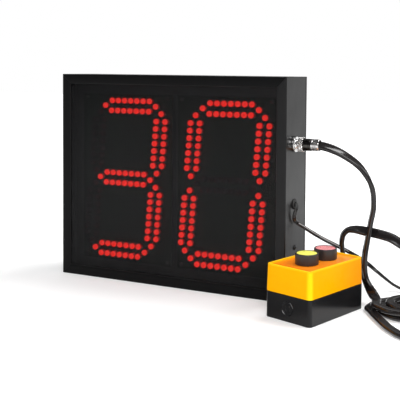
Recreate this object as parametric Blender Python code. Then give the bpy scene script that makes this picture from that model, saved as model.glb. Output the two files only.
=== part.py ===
# LED lap counter: wall or table display with two seven-segment digits, its mains lead and a push-button station.
# Metres, +Z up. The display faces -Y; the origin is under the middle of the cabinet, 34 mm behind its front.
import math

import bmesh
import bpy
import numpy as np
from mathutils import Matrix, Vector

# Cabinet
CAB_W = 0.345
CAB_H = 0.285
CAB_D = 0.0705
FRONT_Y = -0.034
WALL = 0.0018
LIP_W = 0.0135
LIP_T = 0.0018
LIP_FALL = 0.0008
PANEL_T = 0.003
PANEL_RIB = 0.0042
COVER_DEPTH = 0.0044
COVER_T = 0.0015
REAR_FLANGE = 0.010
SEAT = 0.0003
MITRE_GAP = 0.0001

# Rear cover's vents
VENT_COUNT = 6
VENT_X = 0.085
VENT_PITCH = 0.010
VENT_W = 0.003
VENT_L = 0.030
VENT_Z = 0.060

# Corner brackets
BRACKET_LEG = 0.025
BRACKET_T = 0.002
BRACKET_Y0 = 0.0
BRACKET_Y1 = 0.022

# Digits
BOARD_GAP = 0.0092
SIDE_ROOM = 0.0219
END_ROOM = 0.0245
DIGIT_DROP = 0.0025
BOARD_T = 0.0016
BOARD_W = (CAB_W - BOARD_GAP) / 2 - SIDE_ROOM
BOARD_H = CAB_H - 2 * END_ROOM
DIGIT_X = (BOARD_W + BOARD_GAP) / 2
DIGIT_Z = CAB_H / 2 - DIGIT_DROP
PITCHES_WIDE = 14.370
PITCHES_HIGH = 23.228
LED_PITCH = min(BOARD_W / PITCHES_WIDE, BOARD_H / PITCHES_HIGH)
LED_ROW_GAP = LED_PITCH * 1.40
LED_TIP = LED_PITCH * 4.045
LED_R = LED_PITCH * 0.354
LED_H = 0.0080
SEG_LEN = LED_PITCH * 10
SLANT = 0.0853
LED_FRONT_Y = -0.021

# Chassis plate
CHASSIS_Y = -0.005
CHASSIS_T = 0.0015
CHASSIS_EDGE = 0.008
FLANGE_D = 0.014
FLANGE_CUT = 0.045
SOCKET_ROOM = 0.015
SOCKET_REACH = 0.024
OUTLET_ROOM = 0.013
OUTLET_REACH = 0.012
BOSS_R = 0.004

# Electronics behind the chassis plate
SUPPLY_SIZE = (0.110, 0.024, 0.060)
SUPPLY_ROUND = 0.0012
SUPPLY_POS = (CAB_W / 2 - 0.0875, 0.075)
CONTROL_SIZE = (0.100, 0.0016, 0.075)
CONTROL_POS = (0.1025 - CAB_W / 2, 0.150)
CONTROL_TALL = 0.008
TERMINAL_SIZE = (0.036, 0.012, 0.014)
TERMINAL_POS = (CAB_W / 2 - 0.0875, 0.150)
BOSS_BACK = 0.006

# Round connector on the right wall
SOCKET_Y = -0.007
SOCKET_Z = CAB_H - 0.086
SOCKET_HOLE_R = 0.0081
SOCKET_FLANGE_R = 0.0102
SOCKET_FLANGE_T = 0.0035
SOCKET_BARREL_R = 0.0078
SOCKET_BARREL_L = 0.016
SOCKET_NOSE_R = 0.0066
SOCKET_NOSE_L = 0.0125
RING_X0 = 0.0072
RING_X1 = 0.0140
RING_R = 0.0093
SHELL_X1 = 0.0238
SHELL_R = 0.0078
CLAMP_X0 = 0.0243
CLAMP_X1 = 0.0350
CLAMP_R = 0.0076
PLUG_BORE = 0.0068
PLUG_GAP = 0.0004

# Mains lead outlet
OUTLET_Y = -0.0045
OUTLET_Z = 0.1215
OUTLET_HOLE_R = 0.0050
GROMMET_R = 0.0068
GROMMET_T = 0.0016
GROMMET_BORE = 0.0032
SIDE_SCREW = (-0.0009, 0.0641)
SIDE_SCREW_R = 0.0034
SIDE_SCREW_H = 0.0016

# Push-button station
ST_CENTRE = (CAB_W / 2 + 0.0462, -0.0488)
ST_ANGLE = math.radians(72.6)
ST_L = 0.106
ST_W = 0.068
ST_CORNER = 0.0045
BASE_H = 0.031
COVER_TOP = 0.064
COVER_WALL = 0.0022
COVER_ROOF = 0.0025
RIM_W = 0.0035
RIM_DEPTH = 0.002
COVER_TAPER = 0.0008
BASE_WALL = 0.0042
BASE_FLOOR = 0.003
REBATE_W = 0.0018
REBATE_D = 0.0018
BUTTON_X = (-0.017, 0.020)
BEZEL_R = 0.0142
BEZEL_TOP = 0.0756
BARREL_R = 0.0109
BARREL_BOTTOM = 0.0420
CAP_R = 0.0125
CAP_TOP = 0.0754
CAP_T = 0.004
CAP_CLEAR = 0.0003
BEZEL_SEAT = 0.0640
STEM_R = 0.005
STEM_BOTTOM = 0.0402
CLIP_R = 0.0066
CLIP_T = 0.0014
SPRING_BORE = 0.0082
SPRING_SHELF = 0.0020
SPRING_R = 0.0066
SPRING_WIRE = 0.0009
SPRING_TURNS = 5
PRESS = 0.005
NUT_T = 0.0035
NUT_R = 0.0150
BLOCK_SIZE = 0.026
BLOCK_BOTTOM = 0.0115
WELL_SPARE = 0.0017
KNOCKOUT_R = 0.0085
KNOCKOUT_Z = BASE_H / 2
GLAND_BARREL_R = 0.0098
GLAND_HEX_R = 0.0122
GLAND_Z = BASE_FLOOR + GLAND_HEX_R + SEAT
GLAND_HEX_T = 0.004
GLAND_DOME_R = 0.0112
GLAND_DOME_L = 0.014
GLAND_BORE = 0.0068
GLAND_NUT_T = 0.004

# Control cable: a flat twin
CABLE_W = 0.0124
CABLE_T = 0.0062
COIL_CENTRE = (CAB_W / 2 + 0.1515, -0.003)
COIL_R = 0.047
COIL_PITCH = 0.0131
COIL_LAYER = 0.0069
COIL_DIP = 0.0066
DIP_REACH = 0.5
COIL_START = math.radians(211.0)
COIL_TURNS = 3.044
COIL_REVERSE = 1.789
FLOOR_GAP = 0.0001

# Mains lead: a thin flat twin
LEAD_W = 0.0052
LEAD_T = 0.0027
LEAD_CENTRE = (CAB_W / 2 + 0.1585, 0.1275)
LEAD_R = 0.037
LEAD_PITCH = 0.0058
LEAD_LAYER = 0.0033
LEAD_DIP = 0.0030
LEAD_START = math.radians(-55.0)
LEAD_TURNS = 5.1
LEAD_REVERSE = 2.55
TIE_T = 0.0008
TIE_W = 0.004
TIE_CLEAR = 0.0004
TIE_ANGLE = math.radians(20.0)
TAIL_L = 0.050
PLUG_L = 0.034
PLUG_W = 0.024
PLUG_H = 0.018
RELIEF_L = 0.018
BLADE_L = 0.0165
BLADE_W = 0.0063
BLADE_T = 0.0015
BLADE_GAP = 0.0127

INNER_W = CAB_W / 2 - WALL
BACK_Y = FRONT_Y + CAB_D
SHELL_END_Y = BACK_Y - COVER_DEPTH
PANEL_Y0 = FRONT_Y + LIP_T + SEAT
PANEL_Y1 = PANEL_Y0 + PANEL_T
BOARD_FRONT_Y = LED_FRONT_Y + LED_H
BOARD_BACK_Y = BOARD_FRONT_Y + BOARD_T
CHASSIS_BACK_Y = CHASSIS_Y + CHASSIS_T
WALL_X = CAB_W / 2

for old in list(bpy.data.objects):
    bpy.data.objects.remove(old, do_unlink=True)


def material(name, colour, roughness, metallic=0.0):
    mat = bpy.data.materials.new(name)
    mat.use_nodes = True
    shader = mat.node_tree.nodes["Principled BSDF"]
    shader.inputs["Base Color"].default_value = (*colour, 1.0)
    shader.inputs["Roughness"].default_value = roughness
    shader.inputs["Metallic"].default_value = metallic
    mat.diffuse_color = (*colour, 1.0)
    return mat


RAIL_BLACK = material("rail_black", (0.020, 0.020, 0.022), 0.38)
SMOKED = material("smoked_panel", (0.012, 0.012, 0.014), 0.12)
ZINC = material("zinc_steel", (0.55, 0.56, 0.57), 0.40, 1.0)
BRIGHT = material("bright_chrome", (0.78, 0.78, 0.80), 0.15, 1.0)
BOARD_GREEN = material("board_green", (0.020, 0.100, 0.045), 0.45)
LED_RED = material("led_red", (0.75, 0.03, 0.02), 0.25)
BLACK_PLASTIC = material("black_plastic", (0.030, 0.030, 0.032), 0.35)
BLACK_RUBBER = material("black_rubber", (0.022, 0.022, 0.023), 0.70)
YELLOW = material("station_yellow", (0.950, 0.500, 0.015), 0.35)
CAP_YELLOW = material("cap_yellow", (0.950, 0.850, 0.250), 0.30)
CAP_RED = material("cap_red", (0.800, 0.300, 0.330), 0.30)
CABLE_BLACK = material("cable_black", (0.035, 0.033, 0.034), 0.30)
TERMINAL_WHITE = material("terminal_white", (0.800, 0.790, 0.740), 0.50)


def finish(name, bm, mat, matrix=None, smooth=None):
    bmesh.ops.recalc_face_normals(bm, faces=bm.faces)
    mesh = bpy.data.meshes.new(name)
    bm.to_mesh(mesh)
    bm.free()
    if smooth is not None:
        mesh.shade_smooth()
        mesh.set_sharp_from_angle(angle=math.radians(smooth))
    obj = bpy.data.objects.new(name, mesh)
    bpy.context.scene.collection.objects.link(obj)
    obj.data.materials.append(mat)
    if matrix is not None:
        obj.matrix_world = matrix
    return obj


def add_box(bm, x0, x1, y0, y1, z0, z1):
    size = Vector((x1 - x0, y1 - y0, z1 - z0))
    centre = Vector(((x0 + x1) / 2, (y0 + y1) / 2, (z0 + z1) / 2))
    matrix = Matrix.Translation(centre) @ Matrix.Diagonal((*size, 1.0))
    return bmesh.ops.create_cube(bm, size=1.0, matrix=matrix)["verts"]


def add_prism(bm, outline, to_space, low, high):
    """Extrude a closed outline from level low to level high; to_space maps (u, v, level) to a point."""
    bottom = [bm.verts.new(to_space(u, v, low)) for u, v in outline]
    top = [bm.verts.new(to_space(u, v, high)) for u, v in outline]
    count = len(outline)
    bm.faces.new(bottom)
    bm.faces.new(top)
    for i in range(count):
        j = (i + 1) % count
        bm.faces.new((bottom[i], bottom[j], top[j], top[i]))
    return bottom + top


def add_turned(bm, profile, steps, matrix=None):
    """Spin a profile of (radius, height) about Z; it ends on the axis, or else closes on itself."""
    verts = [bm.verts.new((r, 0.0, h)) for r, h in profile]
    edges = [bm.edges.new(pair) for pair in zip(verts, verts[1:])]
    if profile[0][0] > 1e-9:
        edges.append(bm.edges.new((verts[-1], verts[0])))
    start = set(bm.verts) - set(verts)
    bmesh.ops.spin(bm, geom=verts + edges, cent=(0, 0, 0), axis=(0, 0, 1), dvec=(0, 0, 0),
                   angle=2 * math.pi, steps=steps, use_merge=True)
    made = [v for v in bm.verts if v not in start]
    bmesh.ops.remove_doubles(bm, verts=made, dist=1e-6)
    made = [v for v in bm.verts if v not in start]
    if matrix is not None:
        bmesh.ops.transform(bm, matrix=matrix, verts=made)
    return made


def turned(name, profile, steps, mat, matrix=None):
    bm = bmesh.new()
    add_turned(bm, profile, steps)
    return finish(name, bm, mat, matrix, 40)


def regular(count, radius, phase=0.0):
    step = 2 * math.pi / count
    return [(radius * math.cos(phase + i * step), radius * math.sin(phase + i * step)) for i in range(count)]


def plan(u, v, level):
    return (u, v, level)


def along_y(u, v, level):
    return (u, level, v)


def boolean(obj, cutter, operation="DIFFERENCE"):
    cutter.hide_render = True
    cutter.display_type = "WIRE"
    mod = obj.modifiers.new(cutter.name, "BOOLEAN")
    mod.operation = operation
    mod.solver = "EXACT"
    mod.object = cutter


def x_axis(x, y, z):
    return Matrix.Translation((x, y, z)) @ Matrix.Rotation(math.pi / 2, 4, "Y")


def rail_profile():
    """Section of the frame rail: d inward from the outer face, y from front to rear."""
    rib0 = PANEL_Y1 + SEAT
    rib1 = rib0 + 0.0015
    return [
        (0.0, SHELL_END_Y - SEAT),
        (0.0, FRONT_Y + LIP_FALL),
        (0.0015, FRONT_Y),
        (LIP_W - 0.002, FRONT_Y),
        (LIP_W, FRONT_Y + LIP_FALL),
        (LIP_W, FRONT_Y + LIP_T),
        (WALL, FRONT_Y + LIP_T),
        (WALL, rib0),
        (WALL + PANEL_RIB, rib0),
        (WALL + PANEL_RIB, rib1),
        (WALL, rib1),
        (WALL, SHELL_END_Y - SEAT - LIP_T),
        (REAR_FLANGE, SHELL_END_Y - SEAT - LIP_T),
        (REAR_FLANGE, SHELL_END_Y - SEAT),
    ]


def rail(name, length, place):
    """Mitred rail; place maps (inward, y, along) to a point."""
    bm = bmesh.new()
    ends = []
    for sign in (-1, 1):
        ends.append([bm.verts.new(place(d, y, sign * (length / 2 - d - MITRE_GAP))) for d, y in rail_profile()])
    count = len(ends[0])
    bm.faces.new(ends[0])
    bm.faces.new(ends[1])
    for i in range(count):
        j = (i + 1) % count
        bm.faces.new((ends[0][i], ends[0][j], ends[1][j], ends[1][i]))
    return finish(name, bm, RAIL_BLACK)


def frame_rails():
    mid = CAB_H / 2
    rail("rail_top", CAB_W, lambda d, y, s: (s, y, CAB_H - d))
    rail("rail_bottom", CAB_W, lambda d, y, s: (s, y, d))
    rail("rail_left", CAB_H, lambda d, y, s: (-WALL_X + d, y, mid + s))
    right = rail("rail_right", CAB_H, lambda d, y, s: (WALL_X - d, y, mid + s))
    bm = bmesh.new()
    reach = 0.004
    for radius, y, z in ((SOCKET_HOLE_R, SOCKET_Y, SOCKET_Z), (OUTLET_HOLE_R, OUTLET_Y, OUTLET_Z)):
        add_turned(bm, [(0, -reach), (radius, -reach), (radius, reach), (0, reach)], 20,
                   x_axis(WALL_X - WALL / 2, y, z))
    boolean(right, finish("right_wall_holes", bm, RAIL_BLACK))
    screw_y, screw_z = SIDE_SCREW
    head = [(0, 0), (SIDE_SCREW_R, 0), (SIDE_SCREW_R, SIDE_SCREW_H * 0.5),
            (SIDE_SCREW_R * 0.55, SIDE_SCREW_H), (0, SIDE_SCREW_H)]
    turned("side_screw", head, 12, RAIL_BLACK, x_axis(WALL_X + SEAT / 2, screw_y, screw_z))


def corner_brackets():
    outline = [(0, 0), (BRACKET_LEG, 0), (BRACKET_LEG, BRACKET_T), (BRACKET_T * 2, BRACKET_T),
               (BRACKET_T, BRACKET_T * 2), (BRACKET_T, BRACKET_LEG), (0, BRACKET_LEG)]
    inset = WALL + SEAT
    for name, sx, top in (("bracket_bottom_left", -1, 0), ("bracket_bottom_right", 1, 0),
                          ("bracket_top_left", -1, 1), ("bracket_top_right", 1, 1)):
        bm = bmesh.new()
        sz = -1 if top else 1
        z0 = CAB_H - inset if top else inset
        add_prism(bm, outline, lambda u, v, y: (sx * (WALL_X - inset - u), y, z0 + sz * v), BRACKET_Y0, BRACKET_Y1)
        finish(name, bm, ZINC)


def front_panel():
    bm = bmesh.new()
    half = INNER_W - 0.0006
    edge = WALL + 0.0006
    add_box(bm, -half, half, PANEL_Y0, PANEL_Y1, edge, CAB_H - edge)
    finish("front_panel", bm, SMOKED)


def rear_cover():
    """Tray that closes the back, with two groups of vent slots."""
    bm = bmesh.new()
    rim_in = COVER_T
    outer = [(-WALL_X, 0), (WALL_X, 0), (WALL_X, CAB_H), (-WALL_X, CAB_H)]
    inner = [(-WALL_X + rim_in, rim_in), (WALL_X - rim_in, rim_in),
             (WALL_X - rim_in, CAB_H - rim_in), (-WALL_X + rim_in, CAB_H - rim_in)]
    rings = []
    for outline, y in ((outer, BACK_Y), (outer, SHELL_END_Y), (inner, SHELL_END_Y), (inner, BACK_Y - COVER_T)):
        rings.append([bm.verts.new((u, y, v)) for u, v in outline])
    bm.faces.new(rings[0])
    bm.faces.new(rings[-1])
    for a, b in zip(rings, rings[1:]):
        for i in range(4):
            j = (i + 1) % 4
            bm.faces.new((a[i], a[j], b[j], b[i]))
    cover = finish("rear_cover", bm, RAIL_BLACK)
    bm = bmesh.new()
    y0, y1 = BACK_Y - COVER_T - 0.001, BACK_Y + 0.001
    for side in (-1, 1):
        for i in range(VENT_COUNT):
            x = side * VENT_X + (i - (VENT_COUNT - 1) / 2) * VENT_PITCH
            add_box(bm, x - VENT_W / 2, x + VENT_W / 2, y0, y1, VENT_Z, VENT_Z + VENT_L)
    boolean(cover, finish("rear_cover_cuts", bm, RAIL_BLACK))


def chassis_plate():
    """Plate across the cabinet with folded side flanges and spacers for the boards."""
    bm = bmesh.new()
    half = INNER_W - SEAT
    z0 = CHASSIS_EDGE
    z1 = CAB_H - CHASSIS_EDGE
    outline = [(-half, CHASSIS_Y), (half, CHASSIS_Y), (half, CHASSIS_Y + FLANGE_D),
               (half - CHASSIS_T, CHASSIS_Y + FLANGE_D), (half - CHASSIS_T, CHASSIS_BACK_Y),
               (-half + CHASSIS_T, CHASSIS_BACK_Y), (-half + CHASSIS_T, CHASSIS_Y + FLANGE_D),
               (-half, CHASSIS_Y + FLANGE_D)]
    add_prism(bm, outline, plan, z0, z1)
    plate = finish("chassis_plate", bm, ZINC)
    bm = bmesh.new()
    deep = CHASSIS_Y + FLANGE_D + 0.001
    for sx in (-1, 1):
        edges = sorted((sx * (half - 0.004), sx * (half + 0.001)))
        add_box(bm, *edges, CHASSIS_BACK_Y + 0.0005, deep, z0 - 0.001, FLANGE_CUT)
        add_box(bm, *edges, CHASSIS_BACK_Y + 0.0005, deep, CAB_H - FLANGE_CUT, z1 + 0.001)
    add_box(bm, half - SOCKET_REACH, half + 0.001, CHASSIS_Y - 0.001, deep, SOCKET_Z - SOCKET_ROOM,
            SOCKET_Z + SOCKET_ROOM)
    add_box(bm, half - OUTLET_REACH, half + 0.002, CHASSIS_Y - 0.001, deep, OUTLET_Z - OUTLET_ROOM,
            OUTLET_Z + OUTLET_ROOM)
    boolean(plate, finish("chassis_cuts", bm, ZINC))
    bm = bmesh.new()
    for cx in (-DIGIT_X, DIGIT_X):
        for x, z in board_corners(cx, DIGIT_Z, BOARD_W, BOARD_H):
            top = BOARD_BACK_Y + SEAT
            add_prism(bm, shifted(regular(8, BOSS_R), x, z), along_y, top, CHASSIS_Y + CHASSIS_T / 2)
    for x, z in board_corners(CONTROL_POS[0], CONTROL_POS[1], CONTROL_SIZE[0], CONTROL_SIZE[2]):
        add_prism(bm, shifted(regular(8, BOSS_R * 0.8), x, z), along_y, CHASSIS_Y + CHASSIS_T / 2,
                  CHASSIS_BACK_Y + BOSS_BACK)
    boolean(plate, finish("chassis_spacers", bm, ZINC), "UNION")


def shifted(outline, x, z):
    return [(x + u, z + v) for u, v in outline]


def board_corners(cx, cz, width, height):
    dx = width / 2 - 0.006
    dz = height / 2 - 0.005
    return [(cx - dx, cz - dz), (cx + dx, cz - dz), (cx - dx, cz + dz), (cx + dx, cz + dz)]


def segment_leds():
    """LED centres of one digit round its middle: seven segments of two rows of seven and two tips."""
    places = []
    half = SEG_LEN / 2
    rows = [(i * LED_PITCH, side * LED_ROW_GAP / 2) for i in range(-3, 4) for side in (-1, 1)]
    rows += [(-LED_TIP, 0.0), (LED_TIP, 0.0)]
    for z in (SEG_LEN, 0.0, -SEG_LEN):
        places += [(along, z + across) for along, across in rows]
    for x in (-half, half):
        for z in (-half, half):
            places += [(x + across, z + along) for along, across in rows]
    return [(x + SLANT * z, z) for x, z in places]


def led_board(name, centre_x):
    """Board with its LEDs, each a tapered six-sided lens that stands on the board's front face."""
    bm = bmesh.new()
    add_box(bm, centre_x - BOARD_W / 2, centre_x + BOARD_W / 2, BOARD_FRONT_Y, BOARD_BACK_Y,
            DIGIT_Z - BOARD_H / 2, DIGIT_Z + BOARD_H / 2)
    board = finish(name, bm, BOARD_GREEN)
    bm = bmesh.new()
    wide = regular(6, LED_R)
    slim = regular(6, LED_R * 0.8)
    for x, z in segment_leds():
        base = [bm.verts.new((centre_x + x + u, BOARD_FRONT_Y + BOARD_T / 2, DIGIT_Z + z + v)) for u, v in wide]
        tip = [bm.verts.new((centre_x + x + u, LED_FRONT_Y, DIGIT_Z + z + v)) for u, v in slim]
        bm.faces.new(base)
        bm.faces.new(tip)
        for i in range(6):
            j = (i + 1) % 6
            bm.faces.new((base[i], base[j], tip[j], tip[i]))
    boolean(board, finish(name + "_leds", bm, LED_RED), "UNION")


def electronics():
    sx, sy, sz = SUPPLY_SIZE
    x, z = SUPPLY_POS
    y0 = CHASSIS_BACK_Y + SEAT
    bm = bmesh.new()
    body = add_box(bm, x - sx / 2, x + sx / 2, y0, y0 + sy, z - sz / 2, z + sz / 2)
    edges = list({e for v in body for e in v.link_edges})
    bmesh.ops.bevel(bm, geom=edges, offset=SUPPLY_ROUND, segments=1, affect="EDGES")
    finish("power_supply", bm, ZINC)
    sx, sy, sz = CONTROL_SIZE
    x, z = CONTROL_POS
    y0 = CHASSIS_BACK_Y + BOSS_BACK + SEAT
    bm = bmesh.new()
    add_box(bm, x - sx / 2, x + sx / 2, y0, y0 + sy, z - sz / 2, z + sz / 2)
    board = finish("controller_board", bm, BOARD_GREEN)
    bm = bmesh.new()
    for cx, cz, w, h, t in ((-0.10, 0.107, 0.36, 0.187, 0.50), (0.26, 0.080, 0.12, 0.160, 1.00),
                            (0.20, -0.293, 0.30, 0.107, 1.12), (-0.28, -0.240, 0.16, 0.133, 0.38)):
        add_box(bm, x + (cx - w / 2) * sx, x + (cx + w / 2) * sx, y0 + sy / 2, y0 + sy + t * CONTROL_TALL,
                z + (cz - h / 2) * sz, z + (cz + h / 2) * sz)
    boolean(board, finish("controller_parts", bm, BLACK_PLASTIC), "UNION")
    sx, sy, sz = TERMINAL_SIZE
    x, z = TERMINAL_POS
    y0 = CHASSIS_BACK_Y + SEAT
    bm = bmesh.new()
    outline = [(z - sz / 2, y0), (z + sz / 2, y0), (z + sz / 2, y0 + sy * 0.55), (z + sz * 0.15, y0 + sy * 0.55),
               (z + sz * 0.15, y0 + sy), (z - sz * 0.15, y0 + sy), (z - sz * 0.15, y0 + sy * 0.55),
               (z - sz / 2, y0 + sy * 0.55)]
    add_prism(bm, outline, lambda u, v, level: (level, v, u), x - sx / 2, x + sx / 2)
    finish("terminal_block", bm, TERMINAL_WHITE)


def connector():
    """Panel socket, its inner nut, and the plug with its turning coupling ring."""
    at_wall = x_axis(WALL_X, SOCKET_Y, SOCKET_Z)
    flange0 = SEAT
    flange1 = flange0 + SOCKET_FLANGE_T
    inner = -WALL - SOCKET_BARREL_L
    profile = [(0, inner), (SOCKET_BARREL_R, inner), (SOCKET_BARREL_R, flange0), (SOCKET_FLANGE_R, flange0),
               (SOCKET_FLANGE_R, flange1 - 0.0006), (SOCKET_FLANGE_R - 0.0006, flange1),
               (SOCKET_NOSE_R, flange1), (SOCKET_NOSE_R, SOCKET_NOSE_L), (0, SOCKET_NOSE_L)]
    turned("socket", profile, 20, BRIGHT, at_wall)
    bm = bmesh.new()
    nut0 = -WALL - SEAT - GLAND_NUT_T
    nut1 = -WALL - SEAT
    add_prism(bm, regular(6, SOCKET_FLANGE_R), plan, nut0, nut1)
    nut = finish("socket_nut", bm, BRIGHT, at_wall)
    bm = bmesh.new()
    bore = SOCKET_BARREL_R + CAP_CLEAR
    add_turned(bm, [(0, nut0 - 0.001), (bore, nut0 - 0.001), (bore, nut1 + 0.001), (0, nut1 + 0.001)], 20)
    boolean(nut, finish("socket_nut_bore", bm, BRIGHT, at_wall))
    sleeve = SOCKET_NOSE_R + CAP_CLEAR
    neck = sleeve + 0.0011
    ring_bore = neck + CAP_CLEAR
    bm = bmesh.new()
    ordered = [(0, SHELL_X1), (SHELL_R, SHELL_X1), (SHELL_R, RING_X1 + PLUG_GAP), (neck, RING_X1 + PLUG_GAP),
               (neck, SOCKET_NOSE_L - 0.0045), (sleeve, SOCKET_NOSE_L - 0.0045),
               (sleeve, SOCKET_NOSE_L + PLUG_GAP), (0, SOCKET_NOSE_L + PLUG_GAP)]
    add_turned(bm, ordered, 20)
    finish("plug_shell", bm, BRIGHT, at_wall, 40)
    length = RING_X1 - RING_X0
    bm = bmesh.new()
    outline = []
    for i in range(24):
        angle = 2 * math.pi * i / 24
        radius = RING_R if i % 2 == 0 else RING_R * 0.955
        outline.append((radius * math.cos(angle), radius * math.sin(angle)))
    add_prism(bm, outline, plan, 0.0, length)
    ring = finish("coupling_ring", bm, BRIGHT, x_axis(WALL_X + RING_X0, SOCKET_Y, SOCKET_Z))
    bm = bmesh.new()
    add_turned(bm, [(0, -0.001), (ring_bore, -0.001), (ring_bore, length + 0.001), (0, length + 0.001)], 24)
    boolean(ring, finish("coupling_ring_bore", bm, BRIGHT, x_axis(WALL_X + RING_X0, SOCKET_Y, SOCKET_Z)))
    clamp = [(0, CLAMP_X0), (CLAMP_R, CLAMP_X0), (CLAMP_R, CLAMP_X1 - 0.003), (CLAMP_R - 0.0004, CLAMP_X1),
             (PLUG_BORE, CLAMP_X1), (PLUG_BORE, CLAMP_X0 + 0.0015), (0, CLAMP_X0 + 0.0015)]
    turned("plug_clamp", clamp, 20, BRIGHT, at_wall)


def lead_outlet():
    """Rubber grommet pressed into the right wall, a flange on each side of it."""
    inside = -WALL - SEAT - GROMMET_T * 0.7
    hole = OUTLET_HOLE_R - SEAT
    profile = [(GROMMET_BORE, inside), (GROMMET_R * 0.9, inside), (GROMMET_R * 0.9, -WALL - SEAT),
               (hole, -WALL - SEAT), (hole, SEAT), (GROMMET_R, SEAT), (GROMMET_R, SEAT + GROMMET_T * 0.5),
               (GROMMET_R * 0.8, SEAT + GROMMET_T), (GROMMET_BORE, SEAT + GROMMET_T)]
    turned("lead_grommet", profile, 16, BLACK_RUBBER, x_axis(WALL_X, OUTLET_Y, OUTLET_Z))


STATION = Matrix.Translation((ST_CENTRE[0], ST_CENTRE[1], 0.0)) @ Matrix.Rotation(ST_ANGLE, 4, "Z")


def rounded(length, width, radius):
    """Rounded rectangle with three points a corner."""
    points = []
    for sx, sy, start in ((1, -1, 270), (1, 1, 0), (-1, 1, 90), (-1, -1, 180)):
        cx = sx * (length / 2 - radius)
        cy = sy * (width / 2 - radius)
        for i in range(3):
            angle = math.radians(start + 45 * i)
            points.append((cx + radius * math.cos(angle), cy + radius * math.sin(angle)))
    return points


def station_ring(inset, radius=ST_CORNER):
    return rounded(ST_L - 2 * inset, ST_W - 2 * inset, max(radius - inset * 0.3, 0.0008))


def stacked(name, levels, mat, capped=True):
    """Join outlines of equal count one after another; the first and last are closed or joined."""
    bm = bmesh.new()
    rings = [[bm.verts.new((u, v, z)) for u, v in outline] for outline, z in levels]
    count = len(rings[0])
    pairs = list(zip(rings, rings[1:]))
    if capped:
        bm.faces.new(rings[0])
        bm.faces.new(rings[-1])
    else:
        pairs.append((rings[-1], rings[0]))
    for a, b in pairs:
        for i in range(count):
            j = (i + 1) % count
            bm.faces.new((a[i], a[j], b[j], b[i]))
    return finish(name, bm, mat, STATION, 30)


def cylinder_cut(target, name, profile, matrix, steps=20):
    bm = bmesh.new()
    add_turned(bm, profile, steps)
    boolean(target, finish(name, bm, BLACK_PLASTIC, matrix))


def station_box():
    base = stacked("station_base", [
        (station_ring(0.0004), 0.0), (station_ring(0.0), 0.0015), (station_ring(0.0), BASE_H),
        (station_ring(BASE_WALL - REBATE_W), BASE_H), (station_ring(BASE_WALL - REBATE_W), BASE_H - REBATE_D),
        (station_ring(BASE_WALL), BASE_H - REBATE_D), (station_ring(BASE_WALL), BASE_FLOOR)], BLACK_PLASTIC)
    far = STATION @ x_axis(ST_L / 2, 0, GLAND_Z)
    reach = BASE_WALL + 0.001
    hole = GLAND_BARREL_R + SEAT
    cylinder_cut(base, "gland_hole", [(0, -reach), (hole, -reach), (hole, 0.001), (0, 0.001)], far)
    near = STATION @ x_axis(-ST_L / 2, 0, KNOCKOUT_Z)
    hole = KNOCKOUT_R + SEAT
    cylinder_cut(base, "knockout_hole", [(0, -0.001), (hole, -0.001), (hole, reach), (0, reach)], near)
    plug = [(0, 0.0006), (KNOCKOUT_R - 0.0012, 0.0006), (KNOCKOUT_R, 0.0002), (KNOCKOUT_R, BASE_WALL - 0.001),
            (0, BASE_WALL - 0.001)]
    turned("knockout_plug", plug, 20, BLACK_PLASTIC, near)
    ring_out = BASE_WALL - REBATE_W + SEAT
    stacked("station_seal", [
        (station_ring(ring_out), BASE_H - REBATE_D + SEAT), (station_ring(ring_out), BASE_H),
        (station_ring(BASE_WALL + 0.0004), BASE_H), (station_ring(BASE_WALL + 0.0004), BASE_H - REBATE_D + SEAT)],
        BLACK_RUBBER, False)
    low = BASE_H + SEAT
    roof = COVER_TOP - RIM_DEPTH
    top_in = COVER_TAPER
    cover = stacked("station_cover", [
        (station_ring(COVER_WALL + top_in + 0.001), roof - COVER_ROOF), (station_ring(COVER_WALL), low),
        (station_ring(0.0), low), (station_ring(top_in), COVER_TOP - 0.001), (station_ring(top_in + 0.001), COVER_TOP),
        (station_ring(top_in + RIM_W), COVER_TOP), (station_ring(top_in + RIM_W + 0.0006), roof)], YELLOW)
    for i, x in enumerate(BUTTON_X):
        hole = BARREL_R + SEAT
        cut = [(0, roof - COVER_ROOF - 0.001), (hole, roof - COVER_ROOF - 0.001), (hole, roof + 0.001), (0, roof + 0.001)]
        cylinder_cut(cover, f"cover_hole_{i}", cut, STATION @ Matrix.Translation((x, 0, 0)))


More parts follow.
